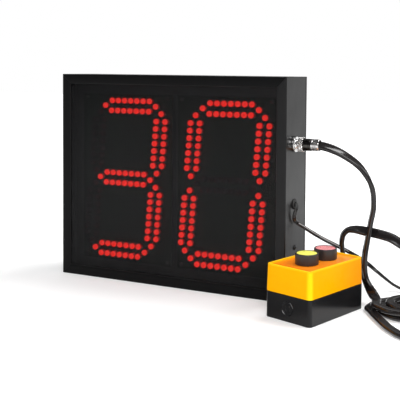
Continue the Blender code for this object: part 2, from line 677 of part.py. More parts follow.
def push_button(colour_name, x, mat):
    """Sprung panel button: bezel with its barrel, cap with its stem, barrel nut and contact block."""
    at = STATION @ Matrix.Translation((x, 0, 0))
    roof = COVER_TOP - RIM_DEPTH
    cap_bore = CAP_R + CAP_CLEAR
    shelf = BARREL_BOTTOM + SPRING_SHELF
    bezel = [(BARREL_R, BARREL_BOTTOM), (BARREL_R, roof + SEAT), (BEZEL_R, roof + SEAT), (BEZEL_R, BEZEL_TOP - 0.0015),
             (BEZEL_R - 0.0010, BEZEL_TOP), (cap_bore, BEZEL_TOP), (cap_bore, BEZEL_SEAT),
             (SPRING_BORE, BEZEL_SEAT), (SPRING_BORE, shelf), (STEM_R + CAP_CLEAR, shelf),
             (STEM_R + CAP_CLEAR, BARREL_BOTTOM)]
    turned("bezel_" + colour_name, bezel, 24, BLACK_PLASTIC, at)
    cap_low = CAP_TOP - CAP_T
    lift = cap_low
    foot = STEM_BOTTOM - lift
    cap = [(0, foot), (CLIP_R, foot), (CLIP_R, foot + CLIP_T), (STEM_R, foot + CLIP_T), (STEM_R, 0.0), (CAP_R, 0.0),
           (CAP_R, CAP_T - 0.0008), (CAP_R - 0.0008, CAP_T), (0, CAP_T)]
    turned("cap_" + colour_name, cap, 24, mat, at @ Matrix.Translation((0, 0, lift)))
    bm = bmesh.new()
    nut1 = roof - COVER_ROOF - SEAT
    nut0 = nut1 - NUT_T
    add_prism(bm, regular(6, NUT_R), plan, nut0, nut1)
    nut = finish("nut_" + colour_name, bm, BLACK_PLASTIC, at)
    bore = BARREL_R + CAP_CLEAR
    cylinder_cut(nut, "nut_bore_" + colour_name,
                 [(0, nut0 - 0.001), (bore, nut0 - 0.001), (bore, nut1 + 0.001), (0, nut1 + 0.001)], at, 24)
    bm = bmesh.new()
    half = BLOCK_SIZE / 2
    top = BARREL_BOTTOM - SEAT
    body = add_box(bm, -half, half, -half, half, BLOCK_BOTTOM, top)
    upright = [e for v in body for e in v.link_edges if abs(e.verts[0].co.z - e.verts[1].co.z) > 0.001]
    bmesh.ops.bevel(bm, geom=list(set(upright)), offset=0.002, segments=1, affect="EDGES")
    block = finish("contact_block_" + colour_name, bm, BLACK_PLASTIC, at)
    well = CLIP_R + CAP_CLEAR * 2
    floor = STEM_BOTTOM - PRESS - WELL_SPARE
    cylinder_cut(block, "contact_well_" + colour_name,
                 [(0, floor), (well, floor), (well, top + 0.001), (0, top + 0.001)], at, 16)
    spring("spring_" + colour_name, at, shelf, cap_low)


def spring(name, at, shelf, cap_low):
    wire = SPRING_WIRE / 2
    low = shelf + SEAT + wire
    high = cap_low - SEAT - wire
    steps = SPRING_TURNS * 9
    curve = bpy.data.curves.new(name, "CURVE")
    curve.dimensions = "3D"
    curve.bevel_depth = wire
    curve.bevel_resolution = 0
    curve.use_fill_caps = True
    line = curve.splines.new("POLY")
    line.points.add(steps)
    for i in range(steps + 1):
        angle = 2 * math.pi * SPRING_TURNS * i / steps
        share = min(max((i / steps - 0.08) / 0.84, 0.0), 1.0)
        point = Vector((SPRING_R * math.cos(angle), SPRING_R * math.sin(angle), low + (high - low) * share))
        line.points[i].co = (*point, 1.0)
    obj = bpy.data.objects.new(name, curve)
    bpy.context.scene.collection.objects.link(obj)
    curve.materials.append(ZINC)
    obj.matrix_world = at


def gland():
    """Cable gland at the far end: hex body through the wall, dome on its mouth, nut inside."""
    at = STATION @ x_axis(ST_L / 2, 0, GLAND_Z)
    hex0 = SEAT
    hex1 = hex0 + GLAND_HEX_T
    end = hex1 + GLAND_DOME_L
    inside = -BASE_WALL - GLAND_NUT_T - 0.002
    bm = bmesh.new()
    add_prism(bm, regular(6, GLAND_HEX_R), plan, hex0, hex1)
    body = finish("gland_body", bm, BLACK_PLASTIC, at)
    bm = bmesh.new()
    add_turned(bm, [(0, inside), (GLAND_BARREL_R, inside), (GLAND_BARREL_R, hex1 - 0.001),
                    (GLAND_DOME_R, hex1 - 0.001), (GLAND_DOME_R, end - 0.004), (GLAND_DOME_R - 0.0018, end), (0, end)], 20)
    boolean(body, finish("gland_round", bm, BLACK_PLASTIC, at), "UNION")
    cylinder_cut(body, "gland_bore", [(0, inside - 0.001), (GLAND_BORE, inside - 0.001),
                                      (GLAND_BORE, end + 0.001), (0, end + 0.001)], at, 20)
    nut1 = -BASE_WALL - SEAT
    nut0 = nut1 - GLAND_NUT_T
    bm = bmesh.new()
    add_prism(bm, regular(6, GLAND_HEX_R), plan, nut0, nut1)
    nut = finish("gland_nut", bm, BLACK_PLASTIC, at)
    bore = GLAND_BARREL_R + CAP_CLEAR
    cylinder_cut(nut, "gland_nut_bore", [(0, nut0 - 0.001), (bore, nut0 - 0.001),
                                         (bore, nut1 + 0.001), (0, nut1 + 0.001)], at, 20)


def twin_profile(width, thick, per_lobe):
    """Section of a flat twin: two round lobes with a shallow groove between them."""
    radius = thick / 2
    off = (width - thick) / 2
    points = []
    for side, middle in ((1, 0.0), (-1, math.pi)):
        for i in range(per_lobe):
            angle = middle + math.radians(80) * (2 * i / (per_lobe - 1) - 1)
            points.append((side * off + radius * math.cos(angle), radius * math.sin(angle)))
        points.append((0.0, side * radius * 0.72))
    return points


def smooth_route(points, sides, spacing):
    """Catmull-Rom curve through the route's points, sampled evenly; the sides turn with it."""
    pts = [np.array(p, float) for p in points]
    dirs = [np.array(s, float) / np.linalg.norm(s) for s in sides]
    pts = [2 * pts[0] - pts[1]] + pts + [2 * pts[-1] - pts[-2]]
    fine = []
    fine_dirs = []
    for i in range(1, len(pts) - 2):
        p0, p1, p2, p3 = pts[i - 1:i + 3]
        t0 = 0.0
        t1 = t0 + np.linalg.norm(p1 - p0) ** 0.5
        t2 = t1 + np.linalg.norm(p2 - p1) ** 0.5
        t3 = t2 + np.linalg.norm(p3 - p2) ** 0.5
        for k in range(24):
            t = t1 + (t2 - t1) * k / 24
            a1 = p0 * (t1 - t) / (t1 - t0) + p1 * (t - t0) / (t1 - t0)
            a2 = p1 * (t2 - t) / (t2 - t1) + p2 * (t - t1) / (t2 - t1)
            a3 = p2 * (t3 - t) / (t3 - t2) + p3 * (t - t2) / (t3 - t2)
            b1 = a1 * (t2 - t) / (t2 - t0) + a2 * (t - t0) / (t2 - t0)
            b2 = a2 * (t3 - t) / (t3 - t1) + a3 * (t - t1) / (t3 - t1)
            fine.append(b1 * (t2 - t) / (t2 - t1) + b2 * (t - t1) / (t2 - t1))
            fine_dirs.append(dirs[i - 1] * (1 - k / 24) + dirs[i] * (k / 24))
    fine.append(pts[-2])
    fine_dirs.append(dirs[-1])
    fine = np.array(fine)
    fine_dirs = np.array(fine_dirs)
    steps = np.linalg.norm(np.diff(fine, axis=0), axis=1)
    reach = np.concatenate([[0], np.cumsum(steps)])
    count = max(int(round(reach[-1] / spacing)), 2)
    at = np.linspace(0, reach[-1], count + 1)
    line = np.stack([np.interp(at, reach, fine[:, k]) for k in range(3)], 1)
    side = np.stack([np.interp(at, reach, fine_dirs[:, k]) for k in range(3)], 1)
    return line, side, reach[-1]


def sweep(name, line, sides, profile, mat):
    """Carry the section along the line with its wide way along the given sides."""
    bm = bmesh.new()
    rings = []
    last = len(line) - 1
    for i, point in enumerate(line):
        ahead = Vector(line[min(i + 1, last)] - line[max(i - 1, 0)]).normalized()
        side = Vector(sides[i])
        side = (side - ahead * side.dot(ahead)).normalized()
        up = ahead.cross(side)
        rings.append([bm.verts.new(Vector(point) + side * a + up * b) for a, b in profile])
    count = len(profile)
    bm.faces.new(rings[0])
    bm.faces.new(rings[-1])
    for a, b in zip(rings, rings[1:]):
        for i in range(count):
            j = (i + 1) % count
            bm.faces.new((a[i], a[j], b[j], b[i]))
    return finish(name, bm, mat, None, 50)


def piled_coil(centre, radius, pitch, layer, dip, start, turns, reverse, way, low, thick, per_turn=24):
    """Two layers of loops: in on the floor, up a layer while the spiral reverses, out again on top."""
    steps = int(round(turns * per_turn))
    line = []
    sides = []
    for i in range(steps + 1):
        turn = turns * i / steps
        angle = start + way * 2 * math.pi * turn
        away = abs(turn - reverse)
        bump = 0.5 + 0.5 * math.cos(math.pi * min(away / DIP_REACH, 1.0))
        reach = radius - pitch * min(turn, reverse) + pitch * max(turn - reverse, 0.0) - dip * bump ** 0.5
        share = min(max((turn - reverse + 0.25) / 0.5, 0.0), 1.0)
        height = low + thick / 2 + layer * share * share * (3 - 2 * share)
        out = np.array((math.cos(angle), math.sin(angle), 0.0))
        line.append(np.array((centre[0], centre[1], height)) + out * reach)
        sides.append(out)
    line = np.array(line)
    sides = np.array(sides)
    for end, other in ((0, 1), (-1, -2)):
        out = sides[end]
        along = np.array((-out[1], out[0], 0.0)) * way * (1 if end == -1 else -1)
        gone = np.linalg.norm(line[other] - line[end])
        line[other] = line[end] - along * gone
        sides[other] = out
    return line, sides


def least_gap(line, width, thick, per_turn):
    """Least free distance between turns: across where they lie side by side, else up."""
    best = 1.0
    skip = per_turn * 2 // 3
    fine = np.concatenate([line[:-1] + (line[1:] - line[:-1]) * k / 6 for k in range(6)])
    order = np.concatenate([np.arange(len(line) - 1) + k / 6 for k in range(6)])
    for point, place in zip(fine, order):
        rest = fine[np.abs(order - place) > skip]
        if len(rest) == 0:
            continue
        flat = np.linalg.norm(rest[:, :2] - point[:2], axis=1) - width
        up = np.abs(rest[:, 2] - point[2]) - thick
        best = min(best, float(np.min(np.maximum(flat, up))))
    return best


def control_coil_line():
    return piled_coil(COIL_CENTRE, COIL_R, COIL_PITCH, COIL_LAYER, COIL_DIP, COIL_START, COIL_TURNS,
                      COIL_REVERSE, -1, FLOOR_GAP, CABLE_T)


def control_cable():
    """Flat twin from the plug to the floor, its loose coil, and the branch to the station."""
    coil, sides = control_coil_line()
    print("control coil least gap mm", round(least_gap(coil, CABLE_W, CABLE_T, 24) * 1000, 2))
    profile = twin_profile(CABLE_W, CABLE_T, 4)
    sweep("control_coil", coil, sides, profile, CABLE_BLACK)
    leave = coil[-1] - coil[-2]
    leave = leave / np.linalg.norm(leave)
    end = coil[-1] + leave * SEAT
    start = np.array((WALL_X + CLAMP_X0 + 0.0015 + SEAT, SOCKET_Y, SOCKET_Z))
    view = (-0.40, 0.91, 0.0)
    route = [(start, (0, 0.75, 0.66)),
             ((WALL_X + 0.0360, -0.0071, SOCKET_Z * 0.9980), (0, 0.75, 0.66)),
             ((WALL_X + 0.0512, -0.0070, SOCKET_Z * 0.9809), (0.2, 0.80, 0.60)),
             ((WALL_X + 0.0680, -0.0050, SOCKET_Z * 0.9427), (0.1, 0.90, 0.40)),
             ((WALL_X + 0.0875, -0.0020, SOCKET_Z * 0.8693), (-0.1, 0.95, 0.20)),
             ((WALL_X + 0.1002, 0.0020, SOCKET_Z * 0.7573), view),
             ((WALL_X + 0.1022, 0.0060, SOCKET_Z * 0.6347), view),
             ((WALL_X + 0.0971, 0.0116, SOCKET_Z * 0.5201), view),
             ((WALL_X + 0.0915, 0.0172, SOCKET_Z * 0.3975), view),
             ((WALL_X + 0.0876, 0.0200, SOCKET_Z * 0.2960), (-0.5, 0.86, 0.0)),
             ((WALL_X + 0.0872, 0.0190, SOCKET_Z * 0.2005), (-0.66, 0.75, 0.0)),
             ((WALL_X + 0.0897, 0.0175, SOCKET_Z * 0.1457), (-0.75, 0.66, 0.0)),
             ((WALL_X + 0.0955, 0.0140, SOCKET_Z * 0.1005), (-0.85, 0.50, 0.0)),
             ((WALL_X + 0.1025, 0.0080, SOCKET_Z * 0.0704), (-0.93, 0.30, 0.0)),
             (end + leave * 0.0130, sides[-1]),
             (end, sides[-1])]
    line, turn, length = smooth_route([p for p, s in route], [s for p, s in route], 0.0105)
    sweep("control_run", line, turn, profile, CABLE_BLACK)
    print("control run m", round(length, 3))
    back = coil[0] - coil[1]
    back = back / np.linalg.norm(back)
    near = coil[0] + back * SEAT
    mouth = STATION @ x_axis(ST_L / 2, 0, GLAND_Z)
    mouth_x, mouth_y = mouth.translation[:2]
    low = FLOOR_GAP + CABLE_T / 2
    steep = (-0.10, 0.25, 0.96)
    route = [(near, sides[0]),
             (near + back * 0.0125, sides[0]),
             ((WALL_X + 0.1328, -0.0605, low), (-0.83, -0.56, 0.0)),
             ((WALL_X + 0.1426, -0.0744, low), (-0.78, -0.63, 0.0)),
             ((WALL_X + 0.1528, -0.0859, low), (-0.70, -0.71, 0.0)),
             ((WALL_X + 0.1649, -0.0968, low), (-0.60, -0.80, 0.0)),
             ((WALL_X + 0.1855, -0.1050, low + 0.0010), (-0.10, -0.99, 0.1)),
             ((WALL_X + 0.2055, -0.1000, 0.0090), (0.55, -0.80, 0.25)),
             ((WALL_X + 0.2215, -0.0760, 0.0170), (0.80, -0.20, 0.55)),
             ((WALL_X + 0.2255, -0.0430, 0.0260), (0.60, 0.10, 0.80)),
             ((WALL_X + 0.2165, -0.0120, 0.0370), (0.30, 0.15, 0.94)),
             ((WALL_X + 0.1945, 0.0120, 0.0485), (0.10, 0.20, 0.97)),
             ((WALL_X + 0.1675, 0.0240, 0.0600), (0.0, 0.25, 0.96)),
             ((WALL_X + 0.1465, 0.0290, 0.0690), steep),
             ((WALL_X + 0.1305, 0.0300, 0.0765), steep),
             ((WALL_X + 0.1188, 0.0300, 0.0823), steep),
             ((WALL_X + 0.1013, 0.0300, 0.0859), steep),
             ((WALL_X + 0.0857, 0.0300, 0.0876), (-0.15, 0.45, 0.88)),
             ((WALL_X + 0.0723, 0.0300, 0.0889), (-0.30, 0.80, 0.50)),
             ((mouth_x + 0.0001, mouth_y + 0.0282, 0.0874), view),
             ((mouth_x - 0.0066, mouth_y + 0.0282, 0.0809), view),
             ((mouth_x - 0.0085, mouth_y + 0.0282, 0.0729), view),
             ((mouth_x - 0.0077, mouth_y + 0.0282, 0.0600), view),
             ((mouth_x - 0.0050, mouth_y + 0.0312, 0.0430), (-0.30, 0.95, 0.0)),
             ((mouth_x + 0.0015, mouth_y + 0.0367, 0.0280), (0.0, 0.90, -0.40)),
             (mouth @ Vector((0, 0, 0.0340)) + Vector((0, 0, 0.0020)), (0.30, 0.20, -0.93)),
             (mouth @ Vector((0, 0, 0.0200)), (0.0, 0.0, -1.0)),
             (mouth @ Vector((0, 0, 0.0060)), (0.0, 0.0, -1.0))]
    line, turn, length = smooth_route([p for p, s in route], [s for p, s in route], 0.0120)
    sweep("control_branch", line, turn, profile, CABLE_BLACK)
    print("control branch m", round(length, 3))


def mains_lead():
    """Thin flat twin: down the wall and across to the floor, its coil with a tie, and the plug."""
    low = FLOOR_GAP + TIE_T + TIE_CLEAR
    coil, sides = piled_coil(LEAD_CENTRE, LEAD_R, LEAD_PITCH, LEAD_LAYER, LEAD_DIP, LEAD_START, LEAD_TURNS,
                             LEAD_REVERSE, 1, low, LEAD_T)
    sides = -sides
    print("lead coil least gap mm", round(least_gap(coil, LEAD_W, LEAD_T, 24) * 1000, 2))
    profile = twin_profile(LEAD_W, LEAD_T, 3)
    sweep("lead_coil", coil, sides, profile, CABLE_BLACK)
    back = coil[0] - coil[1]
    back = back / np.linalg.norm(back)
    meet = coil[0] + back * SEAT
    ground = low + LEAD_T / 2
    upright = (-0.20, -0.15, 0.97)
    route = [((WALL_X - 0.0030, OUTLET_Y, OUTLET_Z + 0.0001), (0, 1, 0)),
             ((WALL_X + 0.0030, OUTLET_Y - 0.0003, OUTLET_Z - 0.0001), (0, 1, 0)),
             ((WALL_X + 0.0050, OUTLET_Y - 0.0034, OUTLET_Z - 0.0034), (0.2, 1, 0.1)),
             ((WALL_X + 0.0044, OUTLET_Y - 0.0066, OUTLET_Z - 0.0085), (0.6, 0.8, 0)),
             ((WALL_X + 0.0034, OUTLET_Y - 0.0076, OUTLET_Z - 0.0140), (0.7, 0.7, 0)),
             ((WALL_X + 0.0032, OUTLET_Y - 0.0060, OUTLET_Z - 0.0195), (0.6, 0.7, 0.3)),
             ((WALL_X + 0.0042, OUTLET_Y + 0.0018, OUTLET_Z - 0.0248), (0.2, 0.6, 0.7)),
             ((WALL_X + 0.0085, 0.0046, OUTLET_Z * 0.7543), (-0.3, 0.3, 0.8)),
             ((WALL_X + 0.0204, 0.0180, OUTLET_Z * 0.6601), upright),
             ((WALL_X + 0.0289, 0.0330, OUTLET_Z * 0.5811), upright),
             ((WALL_X + 0.0391, 0.0470, OUTLET_Z * 0.5078), upright),
             ((WALL_X + 0.0554, 0.0580, OUTLET_Z * 0.4230), upright),
             ((WALL_X + 0.0739, 0.0660, OUTLET_Z * 0.3251), upright),
             ((WALL_X + 0.0874, 0.0720, OUTLET_Z * 0.2264), (-0.4, 0.3, 0.80)),
             ((WALL_X + 0.0985, 0.0770, OUTLET_Z * 0.1440), (-0.5, 0.5, 0.60)),
             ((WALL_X + 0.1113, 0.0810, OUTLET_Z * 0.0650), (-0.5, 0.8, 0.30)),
             ((WALL_X + 0.1285, 0.0795, ground + 0.0006), (-0.1, 1, 0.1)),
             ((WALL_X + 0.1500, 0.0770, ground), (0.15, 1, 0)),
             (meet + back * 0.0100, sides[0]),
             (meet, sides[0])]
    line, turn, length = smooth_route([p for p, s in route], [s for p, s in route], 0.0062)
    sweep("lead_run", line, turn, profile, CABLE_BLACK)
    print("lead run m", round(length, 3))
    leave = coil[-1] - coil[-2]
    leave = leave / np.linalg.norm(leave)
    first = coil[-1] + leave * SEAT
    heading = Vector(leave)
    side = Vector(sides[-1])
    rise = PLUG_H / 2 + FLOOR_GAP
    end = Vector(first) + heading * TAIL_L - side * 0.012
    end.z = rise
    route = [(first, side), (Vector(first) + heading * 0.010, side),
             (Vector(first) + heading * TAIL_L * 0.45 - side * 0.003 + Vector((0, 0, -0.001)), side),
             (end - heading * 0.012, side), (end, side)]
    line, turn, length = smooth_route([p for p, s in route], [s for p, s in route], 0.0070)
    sweep("lead_tail", line, turn, profile, CABLE_BLACK)
    coil_tie(sides, coil, low)
    mains_plug(end + heading * SEAT, heading)


def coil_tie(sides, coil, low):
    """Flat band round both layers on the far right of the lead's coil."""
    inner = LEAD_R - LEAD_PITCH * LEAD_REVERSE - LEAD_DIP - LEAD_W / 2 - TIE_CLEAR
    outer = LEAD_R + LEAD_W / 2 + TIE_CLEAR
    top = low + LEAD_T + LEAD_LAYER + TIE_CLEAR
    bottom = low - TIE_CLEAR
    bm = bmesh.new()
    rings = []
    for y in (-TIE_W / 2, TIE_W / 2):
        for grow in (0.0, TIE_T):
            rings.append([bm.verts.new((u, y, v)) for u, v in (
                (inner - grow, bottom - grow), (outer + grow, bottom - grow),
                (outer + grow, top + grow), (inner - grow, top + grow))])
    near_in, near_out, far_in, far_out = rings
    for a, b in ((near_in, near_out), (near_out, far_out), (far_out, far_in), (far_in, near_in)):
        for i in range(4):
            j = (i + 1) % 4
            bm.faces.new((a[i], a[j], b[j], b[i]))
    place = Matrix.Translation((LEAD_CENTRE[0], LEAD_CENTRE[1], 0.0)) @ Matrix.Rotation(TIE_ANGLE, 4, "Z")
    finish("lead_tie", bm, BLACK_PLASTIC, place)


def mains_plug(start, heading):
    """Two-blade plug with its tapered strain relief, lying on the floor."""
    flat = Vector((heading.x, heading.y, 0.0)).normalized()
    turn = math.atan2(flat.y, flat.x)
    place = Matrix.Translation((start.x, start.y, start.z)) @ Matrix.Rotation(turn, 4, "Z")
    bm = bmesh.new()
    rings = []
    body = RELIEF_L + PLUG_L
    for x, width, height in ((0.0, 0.0080, 0.0056), (RELIEF_L, 0.0110, 0.0090), (RELIEF_L + 0.004, PLUG_W * 0.8, PLUG_H * 0.9),
                             (RELIEF_L + 0.012, PLUG_W, PLUG_H), (body, PLUG_W, PLUG_H)):
        outline = rounded(width, height, min(width, height) * 0.3)
        rings.append([bm.verts.new((x, u, v)) for u, v in outline])
    bm.faces.new(rings[0])
    bm.faces.new(rings[-1])
    count = len(rings[0])
    for a, b in zip(rings, rings[1:]):
        for i in range(count):
            j = (i + 1) % count
            bm.faces.new((a[i], a[j], b[j], b[i]))
    plug = finish("mains_plug", bm, BLACK_PLASTIC, place, 40)
    bm = bmesh.new()
    for side in (-1, 1):
        y = side * BLADE_GAP / 2
        add_box(bm, body - 0.003, body + BLADE_L, y - BLADE_T / 2, y + BLADE_T / 2, -BLADE_W / 2, BLADE_W / 2)
    boolean(plug, finish("mains_blades", bm, BRIGHT, place), "UNION")


frame_rails()
corner_brackets()
front_panel()
rear_cover()
chassis_plate()
led_board("led_board_tens", -DIGIT_X)
led_board("led_board_units", DIGIT_X)
electronics()
connector()
lead_outlet()
station_box()
push_button("yellow", BUTTON_X[0], CAP_YELLOW)
push_button("red", BUTTON_X[1], CAP_RED)
gland()
control_cable()
mains_lead()
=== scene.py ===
# LED lap counter: display cabinet with two lit digits, push-button station, control cable and mains lead.
# Metres, +Z up. The display faces -Y; the origin is under the middle of the cabinet, 34 mm behind its front.
# Profiles that are spun, screw sizes and the rows of the cords' routes are in millimetres.
import math

import bmesh
import bpy
import numpy as np
from mathutils import Matrix, Vector


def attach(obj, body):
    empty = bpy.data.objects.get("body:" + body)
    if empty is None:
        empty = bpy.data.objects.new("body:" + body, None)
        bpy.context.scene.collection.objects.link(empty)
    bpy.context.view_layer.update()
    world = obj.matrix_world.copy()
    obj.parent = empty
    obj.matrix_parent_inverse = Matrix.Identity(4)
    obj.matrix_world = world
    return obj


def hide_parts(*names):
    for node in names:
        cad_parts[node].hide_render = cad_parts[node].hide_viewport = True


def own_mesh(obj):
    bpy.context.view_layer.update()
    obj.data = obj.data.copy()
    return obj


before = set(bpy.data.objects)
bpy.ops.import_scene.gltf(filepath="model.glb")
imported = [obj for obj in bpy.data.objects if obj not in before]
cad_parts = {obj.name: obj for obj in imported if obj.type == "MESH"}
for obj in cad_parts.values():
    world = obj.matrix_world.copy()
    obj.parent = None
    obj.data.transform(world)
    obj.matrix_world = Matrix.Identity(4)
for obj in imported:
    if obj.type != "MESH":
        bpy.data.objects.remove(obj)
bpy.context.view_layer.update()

ROOT = "counter"
FULL = 2 * math.pi
MM = 1000

# Cabinet
CAB_W = 0.345
CAB_H = 0.285
FRONT_Y = -0.034
BACK_Y = 0.0365
WALL_X = CAB_W / 2
COVER_SCREW_X = 0.1635
COVER_SCREW_INSET = 0.0085

# Digits
LED_PITCH = 0.01016
LED_ROW_GAP = 0.01422
LED_TIP = 0.0411
LED_PROFILE = ((0, 0), (4.2, 0), (4.1, 5.7), (3.1, 7.3), (0, 8))
SEG_LEN = 0.1016
DIGIT_X = 0.0776
DIGIT_Z = 0.14
SLANT = 0.0853
LED_TOP_Y = -0.021
BOARD_FRONT_Y = -0.013
BOARD_T = 0.0016
BOARD_W = 0.146
BOARD_H = 0.236

# Inside: the chassis plate's rear face and, as (x, z), the middles of what stands on it
CHASSIS_BACK_Y = -0.0035
SEAT = 0.0003
STANDOFF = 0.006
CONTROLLER_AT = (-0.07, 0.15)
TERMINAL_AT = (0.085, 0.15)
TERMINAL_DEPTH = 0.012
SUPPLY_AT = (0.085, 0.075)
SUPPLY_DEPTH = 0.024

# Connector, lead outlet and side screw on the right wall
SOCKET_Y = -0.007
SOCKET_Z = 0.199
OUTLET_Y = -0.0045
OUTLET_Z = 0.1215
SIDE_SCREW = (-0.0009, 0.0641)

# Push-button station
ST_L = 0.106
ST_W = 0.068
ST_CORNER = 0.0045
BASE_H = 0.031
COVER_TOP = 0.064
ROOF_Z = 0.062
ROOF_T = 0.0025
RIM_W = 0.003
GLAND_Z = 0.0155
BUTTONS = (("yellow", -0.017), ("red", 0.02))
SPRING_R = 0.0066
SPRING_WIRE = 0.0009
SPRING_TURNS = 5

# Cables
CABLE_W = 0.0124
CABLE_T = 0.0062
FLOOR_GAP = 0.0001
LEAD_W = 0.0052
LEAD_T = 0.0027


def moved(x, y, z):
    return Matrix.Translation((x, y, z))


def turned(angle):
    return Matrix.Rotation(angle, 4, "Z")


def x_axis(x, y, z):
    """Local Z looks to the right, along +X."""
    return moved(x, y, z) @ Matrix.Rotation(math.pi / 2, 4, "Y")


def y_axis(x, y, z):
    """Local Z looks to the rear, along +Y."""
    return moved(x, y, z) @ Matrix.Rotation(-math.pi / 2, 4, "X")


def minus_y(x, y, z):
    """Local Z looks to the front, along -Y."""
    return moved(x, y, z) @ Matrix.Rotation(math.pi / 2, 4, "X")


STATION = moved(0.2187, -0.0488, 0.0) @ turned(math.radians(72.6))
AT_SOCKET = x_axis(WALL_X, SOCKET_Y, SOCKET_Z)
AT_GLAND = STATION @ x_axis(ST_L / 2, 0, GLAND_Z)
AT_KNOCKOUT = STATION @ x_axis(-ST_L / 2, 0, GLAND_Z)


def feed(socket, value):
    """Wire a socket into another, or give it a value; a colour may be one grey level or three."""
    if isinstance(value, bpy.types.NodeSocket):
        socket.id_data.links.new(value, socket)
    elif socket.type == "RGBA":
        socket.default_value = (value, value, value, 1.0) if isinstance(value, float) else (*value, 1.0)
    else:
        socket.default_value = value


def node(tree, kind, **values):
    """New shader node with its properties and sockets set by name."""
    made = tree.nodes.new("ShaderNode" + kind)
    for key, value in values.items():
        if hasattr(made, key):
            setattr(made, key, value)
        else:
            feed(made.inputs[key.replace("_", " ")], value)
    return made


def home(*values):
    """Tree of the first socket among the values."""
    return next(value.id_data for value in values if isinstance(value, bpy.types.NodeSocket))


def math_node(operation, *values, clamp=False):
    made = node(home(*values), "Math", operation=operation, use_clamp=clamp)
    for socket, value in zip(made.inputs, values):
        feed(socket, value)
    return made.outputs[0]


def product(*values, clamp=False):
    return math_node("MULTIPLY", *values, clamp=clamp)


def vector_math(operation, *values):
    made = node(home(*values), "VectorMath", operation=operation)
    for socket, value in zip(made.inputs, values):
        feed(socket, value)
    return made.outputs["Value" if operation in ("DOT_PRODUCT", "DISTANCE", "LENGTH") else "Vector"]


def ranged(value, low, high, to_low=0.0, to_high=1.0, interpolation="LINEAR"):
    """Map a value from one range to another and hold it at the ends."""
    made = node(value.id_data, "MapRange", interpolation_type=interpolation, Value=value, From_Min=low,
                From_Max=high, To_Min=to_low, To_Max=to_high)
    return made.outputs["Result"]


def eased(value, low, high, to_low=0.0, to_high=1.0):
    return ranged(value, low, high, to_low, to_high, "SMOOTHSTEP")


def noise(vector, **values):
    return node(vector.id_data, "TexNoise", Vector=vector, **values).outputs["Fac"]


def coordinate(vector, axis):
    return node(vector.id_data, "SeparateXYZ", Vector=vector).outputs[axis]


def blended(mask, below, above):
    """Colour that goes from the one below to the one above as the mask rises."""
    mix = node(mask.id_data, "Mix", data_type="RGBA", Factor=mask)
    feed(mix.inputs[6], below)
    feed(mix.inputs[7], above)
    return mix.outputs[2]


def near_spot(vector, spot, outer, inner):
    """Soft round mask about a place: 0 beyond the outer distance, 1 within the inner one."""
    return eased(vector_math("DISTANCE", vector, spot), outer, inner)


SOCKET_KINDS = {"Vector": "Vector", "Stretch": "Vector", "Dark": "Color", "Light": "Color", "Color": "Color"}


def new_group(name, inputs, outputs):
    """Empty shader group that takes a vector and more; gives back its tree and its two ends' sockets."""
    tree = bpy.data.node_groups.new(name, "ShaderNodeTree")
    for in_out, labels in (("INPUT", ("Vector", *inputs)), ("OUTPUT", outputs)):
        for label in labels:
            kind = "NodeSocket" + SOCKET_KINDS.get(label, "Float")
            tree.interface.new_socket(name=label, in_out=in_out, socket_type=kind)
    return tree, tree.nodes.new("NodeGroupInput").outputs, tree.nodes.new("NodeGroupOutput").inputs


def mottle_group():
    """Slow colour change over a surface: two noises that run from the dark to the light colour."""
    tree, given, result = new_group("mottle", ("Scale", "Dark", "Light"), ("Color",))
    broad = noise(given["Vector"], Scale=given["Scale"], Detail=4.0, Roughness=0.6)
    fine = noise(given["Vector"], Scale=product(given["Scale"], 9.0), Detail=2.0, Roughness=0.5)
    total = math_node("MULTIPLY_ADD", broad, 1.3, product(fine, 0.35))
    shifted = math_node("SUBTRACT", total, 0.325, clamp=True)
    feed(result["Color"], blended(shifted, given["Dark"], given["Light"]))
    return tree


def grain_group():
    """Fine grain of a moulded or painted skin: a height and a roughness that goes with it."""
    tree, given, result = new_group("grain", ("Scale", "Smooth", "Rough"), ("Roughness", "Height"))
    cells = noise(given["Vector"], Scale=given["Scale"], Detail=3.0, Roughness=0.55)
    cloud = noise(given["Vector"], Scale=35.0, Detail=3.0)
    both = product(math_node("ADD", cells, cloud), 0.5)
    feed(result["Roughness"], ranged(both, 0.35, 0.65, given["Smooth"], given["Rough"]))
    feed(result["Height"], cells)
    return tree


def brush_group():
    """Long fine marks of drawn or turned metal, along the chosen axis of the scaled coordinates."""
    tree, given, result = new_group("drawn_marks", ("Stretch", "Smooth", "Rough"), ("Roughness", "Height"))
    scaled = vector_math("MULTIPLY", given["Vector"], given["Stretch"])
    marks = noise(scaled, Scale=1.0, Detail=5.0, Roughness=0.7)
    feed(result["Roughness"], ranged(marks, 0.3, 0.7, given["Smooth"], given["Rough"]))
    feed(result["Height"], marks)
    return tree


def edge_group():
    """Mask of worn edges: where the rounded normal leaves the true one, broken up by noise."""
    tree, given, result = new_group("edge_wear", ("Width", "Amount"), ("Mask",))
    rounded = node(tree, "Bevel", samples=4, Radius=given["Width"]).outputs["Normal"]
    true = node(tree, "NewGeometry").outputs["Normal"]
    lost = math_node("SUBTRACT", 1.0, vector_math("DOT_PRODUCT", rounded, true))
    chips = noise(given["Vector"], Scale=260.0, Detail=4.0, Roughness=0.7)
    worn = product(product(lost, 5.0, clamp=True), ranged(chips, 0.42, 0.62))
    feed(result["Mask"], product(worn, given["Amount"], clamp=True))
    return tree


def dust_group():
    """Mask of dust that settles on faces that look up."""
    tree, given, result = new_group("settled_dust", ("Amount",), ("Mask",))
    true = node(tree, "NewGeometry").outputs["Normal"]
    up = ranged(coordinate(true, "Z"), 0.55, 0.95)
    motes = noise(given["Vector"], Scale=420.0, Detail=5.0, Roughness=0.75)
    both = product(up, ranged(motes, 0.45, 0.75))
    feed(result["Mask"], product(both, given["Amount"], clamp=True))
    return tree


